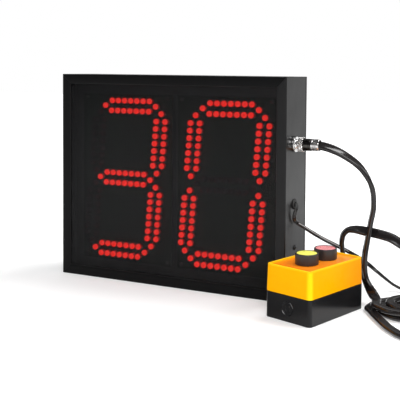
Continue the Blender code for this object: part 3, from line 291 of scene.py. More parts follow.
MOTTLE = mottle_group()
GRAIN = grain_group()
DRAWN = brush_group()
EDGE_WEAR = edge_group()
DUST = dust_group()


def placed(group, vector, **values):
    """Use of a shader group; gives back its outputs."""
    made = vector.id_data.nodes.new("ShaderNodeGroup")
    made.node_tree = group
    for key, value in (("Vector", vector), *values.items()):
        feed(made.inputs[key], value)
    return made.outputs


def mottled(vector, scale, dark, light):
    return placed(MOTTLE, vector, Scale=scale, Dark=dark, Light=light)["Color"]


def blank(name, **fixed):
    """New material with its shader's sockets; the fixed values go on those."""
    mat = bpy.data.materials.new(name)
    mat.use_nodes = True
    sockets = mat.node_tree.nodes["Principled BSDF"].inputs
    for key, value in fixed.items():
        sockets[key.replace("_", " ")].default_value = value
    return mat, sockets, node(mat.node_tree, "TexCoord").outputs["Object"]


def coated(sockets, colour, vector, group, strength, distance, height=None, **values):
    """Colour, with the roughness and bump of a skin group, or with a bump of the given height instead."""
    skin = placed(group, vector, **values)
    bump = node(vector.id_data, "Bump", Strength=strength, Distance=distance, Height=height or skin["Height"])
    for key, value in (("Base Color", colour), ("Roughness", skin["Roughness"]),
                       ("Normal", bump.outputs["Normal"])):
        feed(sockets[key], value)


def moulded(name, dark, light, smooth, rough, wear, wear_amount, wear_width, dust, grain, bump, patch,
            shine=0.5):
    """Plastic, rubber or paint: mottled colour, worn edges, settled dust and a fine grain."""
    mat, sockets, vector = blank(name, Specular_IOR_Level=shine)
    colour = mottled(vector, patch, dark, light)
    worn = placed(EDGE_WEAR, vector, Width=wear_width, Amount=wear_amount)["Mask"]
    dusty = placed(DUST, vector, Amount=dust)["Mask"]
    colour = blended(dusty, blended(worn, colour, wear), (0.45, 0.44, 0.42))
    coated(sockets, colour, vector, GRAIN, bump, 0.0004, Scale=grain, Smooth=smooth, Rough=rough)
    return mat


def metal(name, dark, light, stretch, smooth, rough, patch=60.0):
    """Bare or plated metal with drawn marks and slightly duller patches; where the patches run from nearly
    black to white they are painted glints.
    """
    mat, sockets, vector = blank(name, Metallic=1.0)
    worn = placed(EDGE_WEAR, vector, Width=0.0004, Amount=0.35)["Mask"]
    colour = blended(worn, mottled(vector, patch, dark, light), light)
    coated(sockets, colour, vector, DRAWN, 0.06, 0.0003, Stretch=stretch, Smooth=smooth, Rough=rough)
    return mat


def cover_with_painted_light(name, dark, light, far_painted_light, corner_highlight, rim_highlight, shine, smooth, rough, near_rim_shadow=None):
    """Cover plastic with painted light: its tone shifts towards the far end (painted shade on the sides, a
    painted highlight on the top), to a painted highlight at the near upright corner and along the rims, and
    on the top to a painted shadow of the near rim.
    """
    mat, sockets, vector = blank(name, Specular_IOR_Level=shine)
    lengthwise = STATION.col[0].xyz
    middle = STATION.translation.dot(lengthwise)
    along = vector_math("DOT_PRODUCT", vector, lengthwise)
    # Painted light at the far end: painted shade on the sides, a painted highlight on the top.
    far = eased(along, middle - 0.012, middle + 0.06)
    colour = blended(far, mottled(vector, 30.0, dark, light), far_painted_light)
    # Painted highlight on the near upright corner, where it faces the front light.
    corner = STATION @ Vector((-ST_L / 2 + 0.001, -ST_W / 2 + 0.001, 0.0))
    flat = vector_math("MULTIPLY", vector, (1.0, 1.0, 0.0))
    colour = blended(near_spot(flat, corner, 0.0066, 0.0012), colour, corner_highlight)
    # Painted shadow of the near rim: a darker band on the recess floor along it.
    if near_rim_shadow:
        edge = middle - ST_L / 2 + RIM_W
        colour = blended(eased(along, edge + 0.01, edge + 0.007), colour, near_rim_shadow)
    # Painted highlight along the rims.
    rim = eased(coordinate(vector, "Z"), COVER_TOP - 0.0024, COVER_TOP - 0.0008)
    coated(sockets, blended(rim, colour, rim_highlight), vector, GRAIN, 0.05, 0.0004, Scale=1000.0, Smooth=smooth,
           Rough=rough)
    return mat


def board_mask():
    """Green solder mask over faint copper runs."""
    mat, sockets, vector = blank("board_mask", Specular_IOR_Level=0.5)
    flat = node(mat.node_tree, "Mapping", Vector=vector, Rotation=(math.pi / 2, 0, 0)).outputs["Vector"]
    runs = node(mat.node_tree, "TexBrick", Vector=flat, offset=0.35, Scale=60.0, Mortar_Size=0.06,
                Brick_Width=1.7, Row_Height=0.22).outputs["Fac"]
    tone = mottled(vector, 70.0, (0.01, 0.06, 0.026), (0.02, 0.1, 0.045))
    coated(sockets, blended(runs, tone, (0.045, 0.19, 0.08)), vector, GRAIN, 0.25, 0.0002, runs, Scale=500.0,
           Smooth=0.3, Rough=0.45)
    return mat


def lens(name, dark, light, glow=0.0):
    """Diffused LED lens; a lit one glows at its dome, less where it turns away."""
    mat, sockets, vector = blank(name, Specular_IOR_Level=0.4)
    tone = mottled(vector, 55.0, dark, light)
    if glow:
        feed(sockets["Emission Color"], tone)
        turned_away = node(mat.node_tree, "LayerWeight", Blend=0.5).outputs["Facing"]
        fall = ranged(turned_away, 0.4, 0.98, glow, glow * 0.4)
        dome = ranged(coordinate(vector, "Y"), LED_TOP_Y + 0.0042, LED_TOP_Y + 0.0028, 0.05)
        feed(sockets["Emission Strength"], product(fall, dome))
    coated(sockets, tone, vector, GRAIN, 0.08, 0.0003, Scale=700.0, Smooth=0.22, Rough=0.36)
    return mat


def smoked_acrylic():
    """Dark see-through front panel with a polished face and faint wipe marks."""
    mat, sockets, vector = blank("smoked_acrylic", Alpha=0.7, Specular_IOR_Level=0.1, IOR=1.49)
    tone = mottled(vector, 9.0, (0.007, 0.007, 0.0075), (0.011, 0.011, 0.0115))
    coated(sockets, tone, vector, DRAWN, 0.02, 0.0002, Stretch=(30.0, 30.0, 260.0), Smooth=0.1, Rough=0.2)
    return mat


# Dark and light tone, least and most roughness, tone of worn edges, their share and width, dust, scale and
# height of the grain, scale of the tone's patches, specular level
PAINT = moulded("cabinet_paint", (0.0045, 0.0045, 0.0048), (0.0075, 0.0072, 0.0076), 0.28, 0.38,
                (0.16, 0.16, 0.17), 0.25, 0.0005, 0.05, 1100.0, 0.1, 30.0, 0.235)
# Darker copy of the cabinet paint, with less specular, for the rails' front faces: painted shade.
LIP_SHADED_PAINT = moulded("front_lip_shaded_paint", (0.003, 0.003, 0.0032), (0.005, 0.0049, 0.0052), 0.3, 0.4,
                    (0.14, 0.14, 0.15), 0.25, 0.0005, 0.03, 1100.0, 0.1, 30.0, 0.09)
PLASTIC = moulded("black_plastic", (0.0065, 0.0065, 0.0072), (0.0115, 0.0112, 0.0118), 0.14, 0.24,
                  (0.12, 0.12, 0.13), 0.25, 0.0006, 0.05, 1000.0, 0.05, 45.0, 0.17)
SATIN = moulded("button_ring", (0.018, 0.017, 0.018), (0.028, 0.026, 0.027), 0.3, 0.42,
                0.12, 0.25, 0.0006, 0.04, 1000.0, 0.06, 45.0)
DULL_PLASTIC = moulded("dull_plastic", (0.03, 0.03, 0.031), (0.046, 0.046, 0.048), 0.42, 0.58,
                       0.14, 0.2, 0.0005, 0.05, 1300.0, 0.14, 50.0)
# Pale plastic for the crescents on the knock-out's rim: painted highlight.
KNOCKOUT_GLINT = moulded("knockout_glint_plastic", 0.2, 0.34, 0.2, 0.34, 0.4, 0.2, 0.0004, 0.05, 900.0, 0.05, 60.0)
RUBBER = moulded("black_rubber", 0.016, 0.026, 0.55, 0.75, 0.09, 0.2, 0.0005, 0.15, 800.0, 0.16, 50.0)
CAP_LOOKS = {
    key: moulded("cap_" + key, dark, light, 0.24, 0.36, wear, 0.3, 0.0006, 0.0, 1000.0, 0.04, 60.0, 0.3)
    for key, dark, light, wear in (("yellow", (0.86, 0.83, 0.095), (0.94, 0.91, 0.17), (1.0, 1.0, 0.5)),
                                   ("red", (0.8, 0.24, 0.25), (0.9, 0.31, 0.32), (1.0, 0.5, 0.5)))}
SHEATH = moulded("cable_sheath", (0.007, 0.0062, 0.0065), (0.015, 0.012, 0.012), 0.12, 0.2,
                 0.08, 0.1, 0.0004, 0.04, 700.0, 0.04, 60.0, 0.42)
LEAD_SHEATH = moulded("lead_sheath", (0.008, 0.0074, 0.0074), (0.015, 0.013, 0.013), 0.1, 0.17,
                      0.1, 0.1, 0.0003, 0.04, 700.0, 0.03, 60.0, 0.4)
# Pale tone for the faces beside the lead's groove: painted highlight.
LEAD_GROOVE_HIGHLIGHT = moulded("lead_groove_highlight", (0.24, 0.235, 0.235), (0.32, 0.315, 0.315), 0.2, 0.3,
                      0.2, 0.1, 0.0003, 0.04, 700.0, 0.03, 60.0)
TERMINAL = moulded("terminal_ivory", (0.66, 0.64, 0.57), (0.76, 0.74, 0.68), 0.38, 0.52,
                   (0.9, 0.9, 0.85), 0.2, 0.0005, 0.05, 900.0, 0.08, 60.0)
RELAY = moulded("relay_blue", (0.02, 0.075, 0.26), (0.03, 0.1, 0.34), 0.3, 0.42,
                (0.3, 0.4, 0.6), 0.2, 0.0004, 0.05, 900.0, 0.06, 60.0)
CHIP = moulded("chip_epoxy", 0.02, 0.032, 0.45, 0.62, 0.12, 0.2, 0.0003, 0.05, 1800.0, 0.14, 80.0)

# Dark and light tone, stretch of the drawn marks, least and most roughness
ZINC = metal("zinc_plate", (0.46, 0.46, 0.45), (0.62, 0.62, 0.6), (60.0, 60.0, 900.0), 0.28, 0.48)
CHROME = metal("bright_chrome", (0.7, 0.69, 0.68), 0.9, (1400.0, 90.0, 90.0), 0.05, 0.14)
# Chrome of the coupling ring and the clamp: its dark and bright patches are painted glints and reflections;
# the worn edges are real wear.
GLINTING_CHROME = metal("chrome_glints_and_wear", (0.16, 0.14, 0.13), (0.95, 0.94, 0.93), (900.0, 90.0, 90.0), 0.06, 0.16,
                    420.0)
# Chrome of the plug shell made nearly black to stand for its dark reflections: painted shade.
SHADED_CHROME = metal("shaded_chrome", (0.03, 0.028, 0.026), (0.075, 0.07, 0.064), (1400.0, 90.0, 90.0),
                     0.06, 0.16)
BLACKENED = metal("blackened_steel", (0.035, 0.035, 0.036), (0.08, 0.08, 0.082), (300.0, 300.0, 300.0),
                  0.28, 0.44)
BRASS = metal("plated_brass", (0.6, 0.46, 0.2), (0.78, 0.62, 0.3), (500.0, 500.0, 500.0), 0.22, 0.4)

# Dark and light tone, tones of painted light at the far end, the near corner and the rims, specular level,
# roughness, and on the top the tone of the near rim's painted shadow
SIDE_YELLOW = cover_with_painted_light("station_yellow", (1.0, 0.4, 0.0001), (1.0, 0.46, 0.0006), (1.0, 0.33, 0.002),
                          (1.0, 0.7, 0.008), (1.0, 0.54, 0.01), 0.03, 0.24, 0.36)
TOP_ORANGE = cover_with_painted_light("station_orange", (1.0, 0.25, 0.008), (1.0, 0.29, 0.014), (1.0, 0.4, 0.05),
                         (1.0, 0.255, 0.01), (1.0, 0.24, 0.012), 0.22, 0.1, 0.18, (0.84, 0.14, 0.003))
ACRYLIC = smoked_acrylic()
MASK = board_mask()
LIT = lens("led_lit", (0.93, 0.022, 0.016), (1.0, 0.028, 0.02), 7.4)
UNLIT = lens("led_unlit", (0.085, 0.005, 0.004), (0.12, 0.007, 0.006))


def corners(a, b):
    return [(x, y) for x in (-a, a) for y in (-b, b)]


def linked(name, data):
    obj = bpy.data.objects.new(name, data)
    bpy.context.scene.collection.objects.link(obj)
    return obj


def as_mesh(bm, name="pattern"):
    mesh = bpy.data.meshes.new(name)
    bm.to_mesh(mesh)
    bm.free()
    return mesh


def finished(name, bm, mats, slot, *stands_for, matrix=None, body=ROOT, smooth=35.0):
    """Turn the bmesh into a piece at the origin that rides on its body and stands for the named nodes."""
    if matrix is not None:
        bmesh.ops.transform(bm, matrix=matrix, verts=bm.verts)
    bmesh.ops.recalc_face_normals(bm, faces=bm.faces)
    mesh = as_mesh(bm, name)
    mesh.shade_smooth()
    mesh.set_sharp_from_angle(angle=math.radians(smooth))
    for mat in mats:
        mesh.materials.append(mat)
    obj = linked(name, mesh)
    obj.modifiers.new("weighted", "WEIGHTED_NORMAL").keep_sharp = True
    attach(obj, body)
    if stands_for:
        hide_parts(*stands_for)
    return obj


def sharp_edges(bm, angle=30.0):
    limit = math.radians(angle)
    return [e for e in bm.edges if len(e.link_faces) == 2 and e.calc_face_angle(0.0) > limit]


def soften(bm, edges, width, segments=2):
    if edges:
        bmesh.ops.bevel(bm, geom=edges, offset=width, offset_type="OFFSET", segments=segments, profile=0.5,
                        affect="EDGES", clamp_overlap=True, material=-1)


def edges_of(verts):
    return list({e for v in verts for e in v.link_edges})


def block(bm, low, high, width=0.0003, segments=2, index=0, matrix=None):
    """Box with rounded edges, moved by the matrix."""
    low = Vector(low)
    high = Vector(high)
    old_faces = set(bm.faces)
    old_verts = set(bm.verts)
    place = moved(*(low + high) / 2) @ Matrix.Diagonal((*(high - low), 1.0))
    made = bmesh.ops.create_cube(bm, size=1.0, matrix=place)["verts"]
    if width:
        soften(bm, edges_of(made), width, segments)
    if matrix is not None:
        bmesh.ops.transform(bm, matrix=matrix, verts=[v for v in bm.verts if v not in old_verts])
    for face in set(bm.faces) - old_faces:
        face.material_index = index


def spun(bm, profile, steps=64, matrix=None, index=0):
    """Spin a profile of (radius, height) about Z; it ends on the axis, or else closes on itself."""
    old_verts = set(bm.verts)
    old_faces = set(bm.faces)
    verts = [bm.verts.new((r / MM, 0.0, h / MM)) for r, h in profile]
    edges = [bm.edges.new(pair) for pair in zip(verts, verts[1:])]
    if profile[0][0]:
        edges.append(bm.edges.new((verts[-1], verts[0])))
    bmesh.ops.spin(bm, geom=verts + edges, cent=(0, 0, 0), axis=(0, 0, 1), dvec=(0, 0, 0), angle=FULL,
                   steps=steps, use_merge=True)
    bmesh.ops.remove_doubles(bm, verts=[v for v in bm.verts if v not in old_verts], dist=1e-6)
    made = [v for v in bm.verts if v not in old_verts]
    for face in set(bm.faces) - old_faces:
        face.material_index = index
    if matrix is not None:
        bmesh.ops.transform(bm, matrix=matrix, verts=made)
    return made


def stamp(bm, pattern, matrix, index=0):
    """Add a moved copy of the pattern."""
    old = set(bm.faces) if index else set()
    copy = pattern.copy()
    copy.transform(matrix)
    bm.from_mesh(copy)
    bpy.data.meshes.remove(copy)
    if index:
        for face in set(bm.faces) - old:
            face.material_index = index


def carved(bm, cutter):
    """Cut one closed bmesh from another and give back the result."""
    objs = []
    for part in (bm, cutter):
        bmesh.ops.recalc_face_normals(part, faces=part.faces)
        objs.append(linked("carving", as_mesh(part)))
    mod = objs[0].modifiers.new("carve", "BOOLEAN")
    mod.operation = "DIFFERENCE"
    mod.solver = "EXACT"
    mod.object = objs[1]
    bpy.context.view_layer.update()
    out = bmesh.new()
    out.from_mesh(objs[0].evaluated_get(bpy.context.evaluated_depsgraph_get()).to_mesh())
    for obj in objs:
        mesh = obj.data
        bpy.data.objects.remove(obj)
        bpy.data.meshes.remove(mesh)
    return out


def refined(node_name, mats, width, slot, segments=2, extra=None):
    """Merged copy of a CAD node with its edges rounded, which then stands for the node."""
    bm = bmesh.new()
    bm.from_mesh(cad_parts[node_name].data)
    bmesh.ops.remove_doubles(bm, verts=bm.verts, dist=1e-6)
    bmesh.ops.dissolve_limit(bm, angle_limit=math.radians(1.0), verts=bm.verts, edges=bm.edges)
    for face in bm.faces:
        face.material_index = 0
    soften(bm, sharp_edges(bm), width, segments)
    if extra is not None:
        extra(bm)
    return finished(node_name + "_body", bm, mats, slot, node_name)


def cross_screw(radius, height):
    """Pan head with a cross recess, standing on z = 0."""
    bm = bmesh.new()
    spun(bm, [(0, -0.6), (radius * 0.5, -0.6), (radius * 0.5, 0), (radius * 0.97, 0), (radius, height * 0.25),
              (radius * 0.9, height * 0.72), (radius * 0.62, height * 0.95), (0, height)], 32)
    for turn in (0.0, math.pi / 2):
        cutter = bmesh.new()
        place = moved(0, 0, height / MM) @ turned(turn) @ Matrix.Diagonal(
            (radius * 1.16 / MM, radius * 0.26 / MM, height * 1.1 / MM, 1))
        bmesh.ops.create_cube(cutter, size=1.0, matrix=place)
        bm = carved(bm, cutter)
    return as_mesh(bm)


SCREW_M3 = cross_screw(2.8, 1.8)
SCREW_SMALL = cross_screw(1.9, 1.2)


def camera():
    """Place, direction, roll and crop of the view."""
    yaw, pitch, roll = (math.radians(a) for a in (-24.10035, 2.34165, 0.5316))
    ahead = Vector((math.sin(yaw) * math.cos(pitch), math.cos(yaw) * math.cos(pitch), -math.sin(pitch)))
    right = Vector((math.cos(yaw), -math.sin(yaw), 0.0))
    up = right.cross(ahead)
    across = math.cos(roll) * right + math.sin(roll) * up
    upright = -math.sin(roll) * right + math.cos(roll) * up
    data = bpy.data.cameras.new("camera")
    data.sensor_width = 36.0
    data.lens = 70.8456
    data.shift_x = -0.15768
    data.shift_y = -0.24796
    data.clip_start = 0.05
    eye = linked("camera", data)
    turn = Matrix((across, upright, -ahead)).transposed().to_4x4()
    eye.matrix_world = moved(0.54567, -0.93983, 0.29511) @ turn
    bpy.context.scene.camera = eye


def lamps():
    for name, place, target, size, power in (
            ("key_lamp", (0.9, -1.7, 1.5), (0.1, 0.0, 0.1), 1.3, 26.0),
            ("fill_lamp", (-1.5, -0.9, 1.9), (0.0, 0.0, 0.12), 1.5, 6.0),
            ("side_lamp", (1.7, 0.3, 1.5), (0.17, 0.0, 0.2), 1.0, 14.0),
            ("top_lamp", (0.4, 0.5, 1.7), (0.15, 0.0, 0.0), 0.7, 12.0)):
        lamp = bpy.data.lights.new(name, "AREA")
        lamp.shape = "DISK"
        lamp.size = size
        lamp.energy = power
        holder = linked(name, lamp)
        holder.location = place
        holder.rotation_mode = "QUATERNION"
        holder.rotation_quaternion = (Vector(target) - Vector(place)).to_track_quat("-Z", "Y")


def surroundings():
    """White to the camera; in mirrors it falls off upwards and towards the front left."""
    world = bpy.data.worlds.new("surroundings")
    bpy.context.scene.world = world
    world.use_nodes = True
    tree = world.node_tree
    rays = node(tree, "LightPath").outputs
    bearing = node(tree, "TexCoord").outputs["Generated"]
    left = ranged(coordinate(bearing, "X"), -0.6, -0.34, 0.06, 0.8)
    front = ranged(coordinate(bearing, "Y"), -0.45, 0.1, left)
    above = ranged(coordinate(bearing, "Z"), 0.03, 0.24, 1.0, 0.16)
    shown = math_node("MAXIMUM", product(front, above), rays["Is Camera Ray"])
    seen = math_node("MAXIMUM", rays["Is Camera Ray"], rays["Is Glossy Ray"])
    seen = math_node("MAXIMUM", seen, rays["Is Transmission Ray"])
    sky = tree.nodes["Background"].inputs
    feed(sky["Color"], 1.0)
    feed(sky["Strength"], ranged(seen, 0.0, 1.0, 0.55, shown))


def ground():
    """Pale floor that keeps its shadows and lifts to white away from the part; mirrors see painted shade on
    it behind the part and before the station's near end, and a painted pool of light beside the station.
    """
    bm = bmesh.new()
    bmesh.ops.create_grid(bm, x_segments=4, y_segments=4, size=6.0)
    floor = linked("floor", as_mesh(bm))
    floor.location = (0.0, 0.0, -0.0002)
    mat, sockets, vector = blank("floor_white", Roughness=0.85, Specular_IOR_Level=0.1)
    tree = mat.node_tree
    rays = node(tree, "LightPath").outputs
    mirrored = rays["Is Glossy Ray"]
    away = vector_math("LENGTH", vector)
    behind = eased(coordinate(vector, "Y"), -0.02, 0.1)
    # Mirrors see painted shade on the floor behind the part and in a spot before the station's near end.
    mirrored_shade_behind = product(product(behind, eased(away, 1.0, 0.4)), 0.42)
    before = product(near_spot(vector, (0.13, -0.155, 0.0), 0.085, 0.05), 0.75)
    mirrored_painted_shade = product(math_node("MAXIMUM", mirrored_shade_behind, before), mirrored)
    tone = mottled(vector, 0.8, 0.88, 0.9)
    kept = math_node("SUBTRACT", 1.0, mirrored_painted_shade)
    feed(sockets["Base Color"], vector_math("MULTIPLY", tone, kept))
    seen = math_node("MAXIMUM", rays["Is Camera Ray"], product(mirrored, 0.5))
    spread = eased(away, 0.22, 0.7, 0.17, 0.66)
    # Mirrors see a painted pool of light on the floor beside the station.
    mirrored_light_pool = product(near_spot(vector, (0.295, -0.035, 0.0), 0.14, 0.07), 0.75)
    strength = math_node("MULTIPLY_ADD", seen, spread, product(mirrored_light_pool, mirrored))
    both = node(tree, "AddShader")
    feed(both.inputs[0], tree.nodes["Principled BSDF"].outputs[0])
    feed(both.inputs[1], node(tree, "Emission", Color=1.0, Strength=strength).outputs[0])
    feed(tree.nodes["Material Output"].inputs["Surface"], both.outputs[0])
    floor.data.materials.append(mat)


def oval(wide, thick, count):
    return [(wide * math.cos(FULL * k / count), thick * math.sin(FULL * k / count)) for k in range(count)]


def twin_section(width, thick, per_lobe):
    """Section of a flat twin: two round lobes with a shallow groove between them."""
    radius = thick / 2
    off = (width - thick) / 2
    points = []
    for side, middle in ((1, 0.0), (-1, math.pi)):
        for i in range(per_lobe):
            angle = middle + math.radians(80) * (2 * i / (per_lobe - 1) - 1)
            points.append((side * off + radius * math.cos(angle), radius * math.sin(angle)))
        points.append((0.0, side * radius * 0.72))
    return points


def stops(rows, origin=(0.0, 0.0, 0.0)):
    """Rows of a place from the origin, then the cord's wide way there, as pairs of the two."""
    return [(tuple(o + value / MM for o, value in zip(origin, row)), row[3:]) for row in rows]


def between(a, b, at_a, at_b, at):
    return a * (at_b - at) / (at_b - at_a) + b * (at - at_a) / (at_b - at_a)


def smooth_route(route, spacing):
    """Catmull-Rom curve through the route's places, sampled evenly; the wide way turns with it."""
    pts = [np.array(p, float) for p, s in route]
    dirs = [np.array(s, float) / np.linalg.norm(s) for p, s in route]
    pts = [2 * pts[0] - pts[1]] + pts + [2 * pts[-1] - pts[-2]]
    fine = []
    fine_dirs = []
    for i in range(1, len(pts) - 2):
        p = pts[i - 1:i + 3]
        t = [0.0]
        for a, b in zip(p, p[1:]):
            t.append(t[-1] + np.linalg.norm(b - a) ** 0.5)
        for k in range(24):
            at = t[1] + (t[2] - t[1]) * k / 24
            a = [between(p[j], p[j + 1], t[j], t[j + 1], at) for j in range(3)]
            b = [between(a[j], a[j + 1], t[j], t[j + 2], at) for j in range(2)]
            fine.append(between(b[0], b[1], t[1], t[2], at))
            fine_dirs.append(dirs[i - 1] * (1 - k / 24) + dirs[i] * (k / 24))
    fine = np.array(fine + [pts[-2]])
    fine_dirs = np.array(fine_dirs + [dirs[-1]])
    reach = np.concatenate([[0], np.cumsum(np.linalg.norm(np.diff(fine, axis=0), axis=1))])
    count = max(int(round(reach[-1] / spacing)), 2)
    at = np.linspace(0, reach[-1], count + 1)
    line, side = (np.stack([np.interp(at, reach, row) for row in rows.T], 1) for rows in (fine, fine_dirs))
    return line, side, reach[-1]


def swept(line, sides, sections):
    """Closed tube of sections, one at each point of the line; their wide way goes along the sides."""
    bm = bmesh.new()
    rings = []
    last = len(line) - 1
    for i, section in enumerate(sections):
        ahead = Vector(line[min(i + 1, last)] - line[max(i - 1, 0)]).normalized()
        side = Vector(sides[i])
        side = (side - ahead * side.dot(ahead)).normalized()
        up = ahead.cross(side)
        rings.append([bm.verts.new(Vector(line[i]) + side * a + up * b) for a, b in section])
    bm.faces.new(rings[0])
    bm.faces.new(rings[-1])
    for a, b in zip(rings, rings[1:]):
        for k in range(1 - len(a), 1):
            bm.faces.new((a[k - 1], a[k], b[k], b[k - 1]))
    return bm


def piled_coil(centre, radius, pitch, layer, dip, start, turns, reverse, way, low, thick, per_turn=24):
    """Two layers of loops: in on the floor, up a layer while the spiral reverses, out again on top."""
    steps = int(round(turns * per_turn))
    line = []
    sides = []
    for i in range(steps + 1):
        turn = turns * i / steps
        angle = math.radians(start) + way * FULL * turn
        bump = 0.5 + 0.5 * math.cos(math.pi * min(abs(turn - reverse) / 0.5, 1.0))
        reach = radius - pitch * min(turn, reverse) + pitch * max(turn - reverse, 0.0) - dip * bump ** 0.5
        share = min(max((turn - reverse + 0.25) / 0.5, 0.0), 1.0)
        height = low + thick / 2 + layer * share * share * (3 - 2 * share)
        out = np.array((math.cos(angle), math.sin(angle), 0.0))
        line.append(np.array((*centre, height)) + out * reach)
        sides.append(out)
    line = np.array(line)
    sides = np.array(sides)
    for end, other, sign in ((0, 1, -1), (-1, -2, 1)):
        along = np.array((-sides[end][1], sides[end][0], 0.0)) * way * sign
        line[other] = line[end] - along * np.linalg.norm(line[other] - line[end])
        sides[other] = sides[end]
    return line, sides


def onward(tip, before):
    """Direction in which a coil runs out at its end."""
    return (tip - before) / np.linalg.norm(tip - before)


def control_cable():
    """Flat twin: from the plug to the floor, round its loose coil, and up and over to the station."""
    coil, sides = piled_coil(centre=(0.324, -0.003), radius=0.047, pitch=0.0131, layer=0.0069, dip=0.0066,
                             start=211.0, turns=3.044, reverse=1.789, way=-1, low=FLOOR_GAP, thick=CABLE_T)
    leave = onward(coil[-1], coil[-2])
    back = onward(coil[0], coil[1])
    view = (-0.4, 0.91, 0.0)
    steep = (-0.1, 0.25, 0.96)
    low = (FLOOR_GAP + CABLE_T / 2) * MM
    run = [((WALL_X + 0.0261, SOCKET_Y, SOCKET_Z), (0, 0.75, 0.66))]
    run += stops([
        (208.5, -7.1, 198.6, 0, 0.75, 0.66), (223.7, -7, 195.2, 0.2, 0.8, 0.6),
        (240.5, -5, 187.6, 0.1, 0.9, 0.4), (260, -2, 173, -0.1, 0.95, 0.2), (272.7, 2, 150.7, *view),
        (274.7, 6, 126.3, *view), (269.6, 11.6, 103.5, *view), (264, 17.2, 79.1, *view),
        (260.1, 20, 58.9, -0.5, 0.86, 0), (259.7, 19, 39.9, -0.66, 0.75, 0),
        (262.2, 17.5, 29, -0.75, 0.66, 0), (268, 14, 20, -0.85, 0.5, 0), (275, 8, 14, -0.93, 0.3, 0)])
    run.append((coil[-1] + leave * 0.0133, sides[-1]))
    branch = [(coil[0] + back * 0.0128, sides[0])]
    branch += stops([
        (305.3, -60.5, low, -0.83, -0.56, 0), (315.1, -74.4, low, -0.78, -0.63, 0),
        (325.3, -85.9, low, -0.7, -0.71, 0), (337.4, -96.8, low, -0.6, -0.8, 0),
        (358, -105, low + 1, -0.1, -0.99, 0.1), (378, -100, 9, 0.55, -0.8, 0.25),
        (394, -76, 17, 0.8, -0.2, 0.55), (398, -43, 26, 0.6, 0.1, 0.8), (389, -12, 37, 0.3, 0.15, 0.94),
        (367, 12, 48.5, 0.1, 0.2, 0.97), (340, 24, 60, 0, 0.25, 0.96), (319, 29, 69, *steep),
        (303, 30, 76.5, *steep), (291.3, 30, 82.3, *steep), (273.8, 30, 85.9, *steep),
        (258.2, 30, 87.6, -0.15, 0.45, 0.88), (244.8, 30, 88.9, -0.3, 0.8, 0.5), (234.6, 30, 87.4, *view),
        (227.9, 30, 80.9, *view), (226, 30, 72.9, *view), (226.8, 30, 60, *view),
        (229.5, 33, 43, -0.3, 0.95, 0), (236, 38.5, 28, 0, 0.9, -0.4)])
    down = (0.0, 0.0, -1.0)
    branch += [(AT_GLAND @ Vector((0, 0, 0.034)) + Vector((0, 0, 0.002)), (0.3, 0.2, -0.93)),
               (AT_GLAND @ Vector((0, 0, 0.02)), down), (AT_GLAND @ Vector((0, 0, 0.006)), down)]
    line, turn, length = smooth_route(run + list(zip(coil[::-1], sides[::-1])) + branch, 0.0026)
    bm = swept(line, turn, [twin_section(CABLE_W, CABLE_T, 11)] * len(line))
    cable = finished("control_cable", bm, [SHEATH], "cable_black", "control_run", "control_coil",
                     "control_branch", smooth=50.0)


def mains_lead():
    """Thin flat twin: down the wall and across to the floor, its tied coil, and the tail to the plug."""
    low = FLOOR_GAP + 0.0012
    coil, sides = piled_coil(centre=(0.331, 0.1275), radius=0.037, pitch=0.0058, layer=0.0033, dip=0.003,
                             start=-55.0, turns=5.1, reverse=2.55, way=1, low=low, thick=LEAD_T)
    sides = -sides
    ground_z = (low + LEAD_T / 2) * MM
    upright = (-0.2, -0.15, 0.97)
    run = stops([
        (-3, 0, 0.1, 0, 1, 0), (3, -0.3, -0.1, 0, 1, 0), (5, -3.4, -3.4, 0.2, 1, 0.1),
        (4.4, -6.6, -8.5, 0.6, 0.8, 0), (3.4, -7.6, -14, 0.7, 0.7, 0), (3.2, -6, -19.5, 0.6, 0.7, 0.3),
        (4.2, 1.8, -24.8, 0.2, 0.6, 0.7)], (WALL_X, OUTLET_Y, OUTLET_Z))
    run += stops([
        (181, 4.6, 91.6, -0.3, 0.3, 0.8), (192.9, 18, 80.2, *upright), (201.4, 33, 70.6, *upright),
        (211.6, 47, 61.7, *upright), (227.9, 58, 51.4, *upright), (246.4, 66, 39.5, *upright),
        (259.9, 72, 27.5, -0.4, 0.3, 0.8), (271, 77, 17.5, -0.5, 0.5, 0.6), (283.8, 81, 7.9, -0.5, 0.8, 0.3),
        (301, 79.5, ground_z + 0.6, -0.1, 1, 0.1), (322.5, 77, ground_z, 0.15, 1, 0)])
    run.append((coil[0] + onward(coil[0], coil[1]) * 0.0103, sides[0]))
    heading = Vector(onward(coil[-1], coil[-2]))
    first = Vector(coil[-1]) + heading * 0.0003
    side = Vector(sides[-1])
    end = first + heading * 0.05 - side * 0.012
    end.z = 0.009 + FLOOR_GAP
    tail = [(first + heading * 0.01, side),
            (first + heading * 0.0225 - side * 0.003 + Vector((0, 0, -0.001)), side),
            (end - heading * 0.012, side), (end, side)]
    line, turn, length = smooth_route(run + list(zip(coil, sides)) + tail, 0.0018)
    section = twin_section(LEAD_W, LEAD_T, 8)
    bm = swept(line, turn, [section] * len(line))
    # Faces beside the groove on the lead's run down from the wall take a pale tone: a painted highlight along
    # its middle.
    bm.verts.index_update()
    for face in bm.faces:
        middle = face.calc_center_median()
        groove_highlight = {v.index % len(section) for v in face.verts} == {7, 8}
        if groove_highlight and middle.x < 0.227 and middle.z < OUTLET_Z - 0.0245:
            face.material_index = 1
    lead = finished("mains_lead", bm, [LEAD_SHEATH, LEAD_GROOVE_HIGHLIGHT], "cable_black", "lead_run", "lead_coil",
                    "lead_tail", smooth=50.0)
    line_sleeve, turn_sleeve, _ = smooth_route(run[1:8], 0.0012)
    sleeve(line_sleeve, turn_sleeve)
    mains_plug(end + heading * 0.0003, heading)


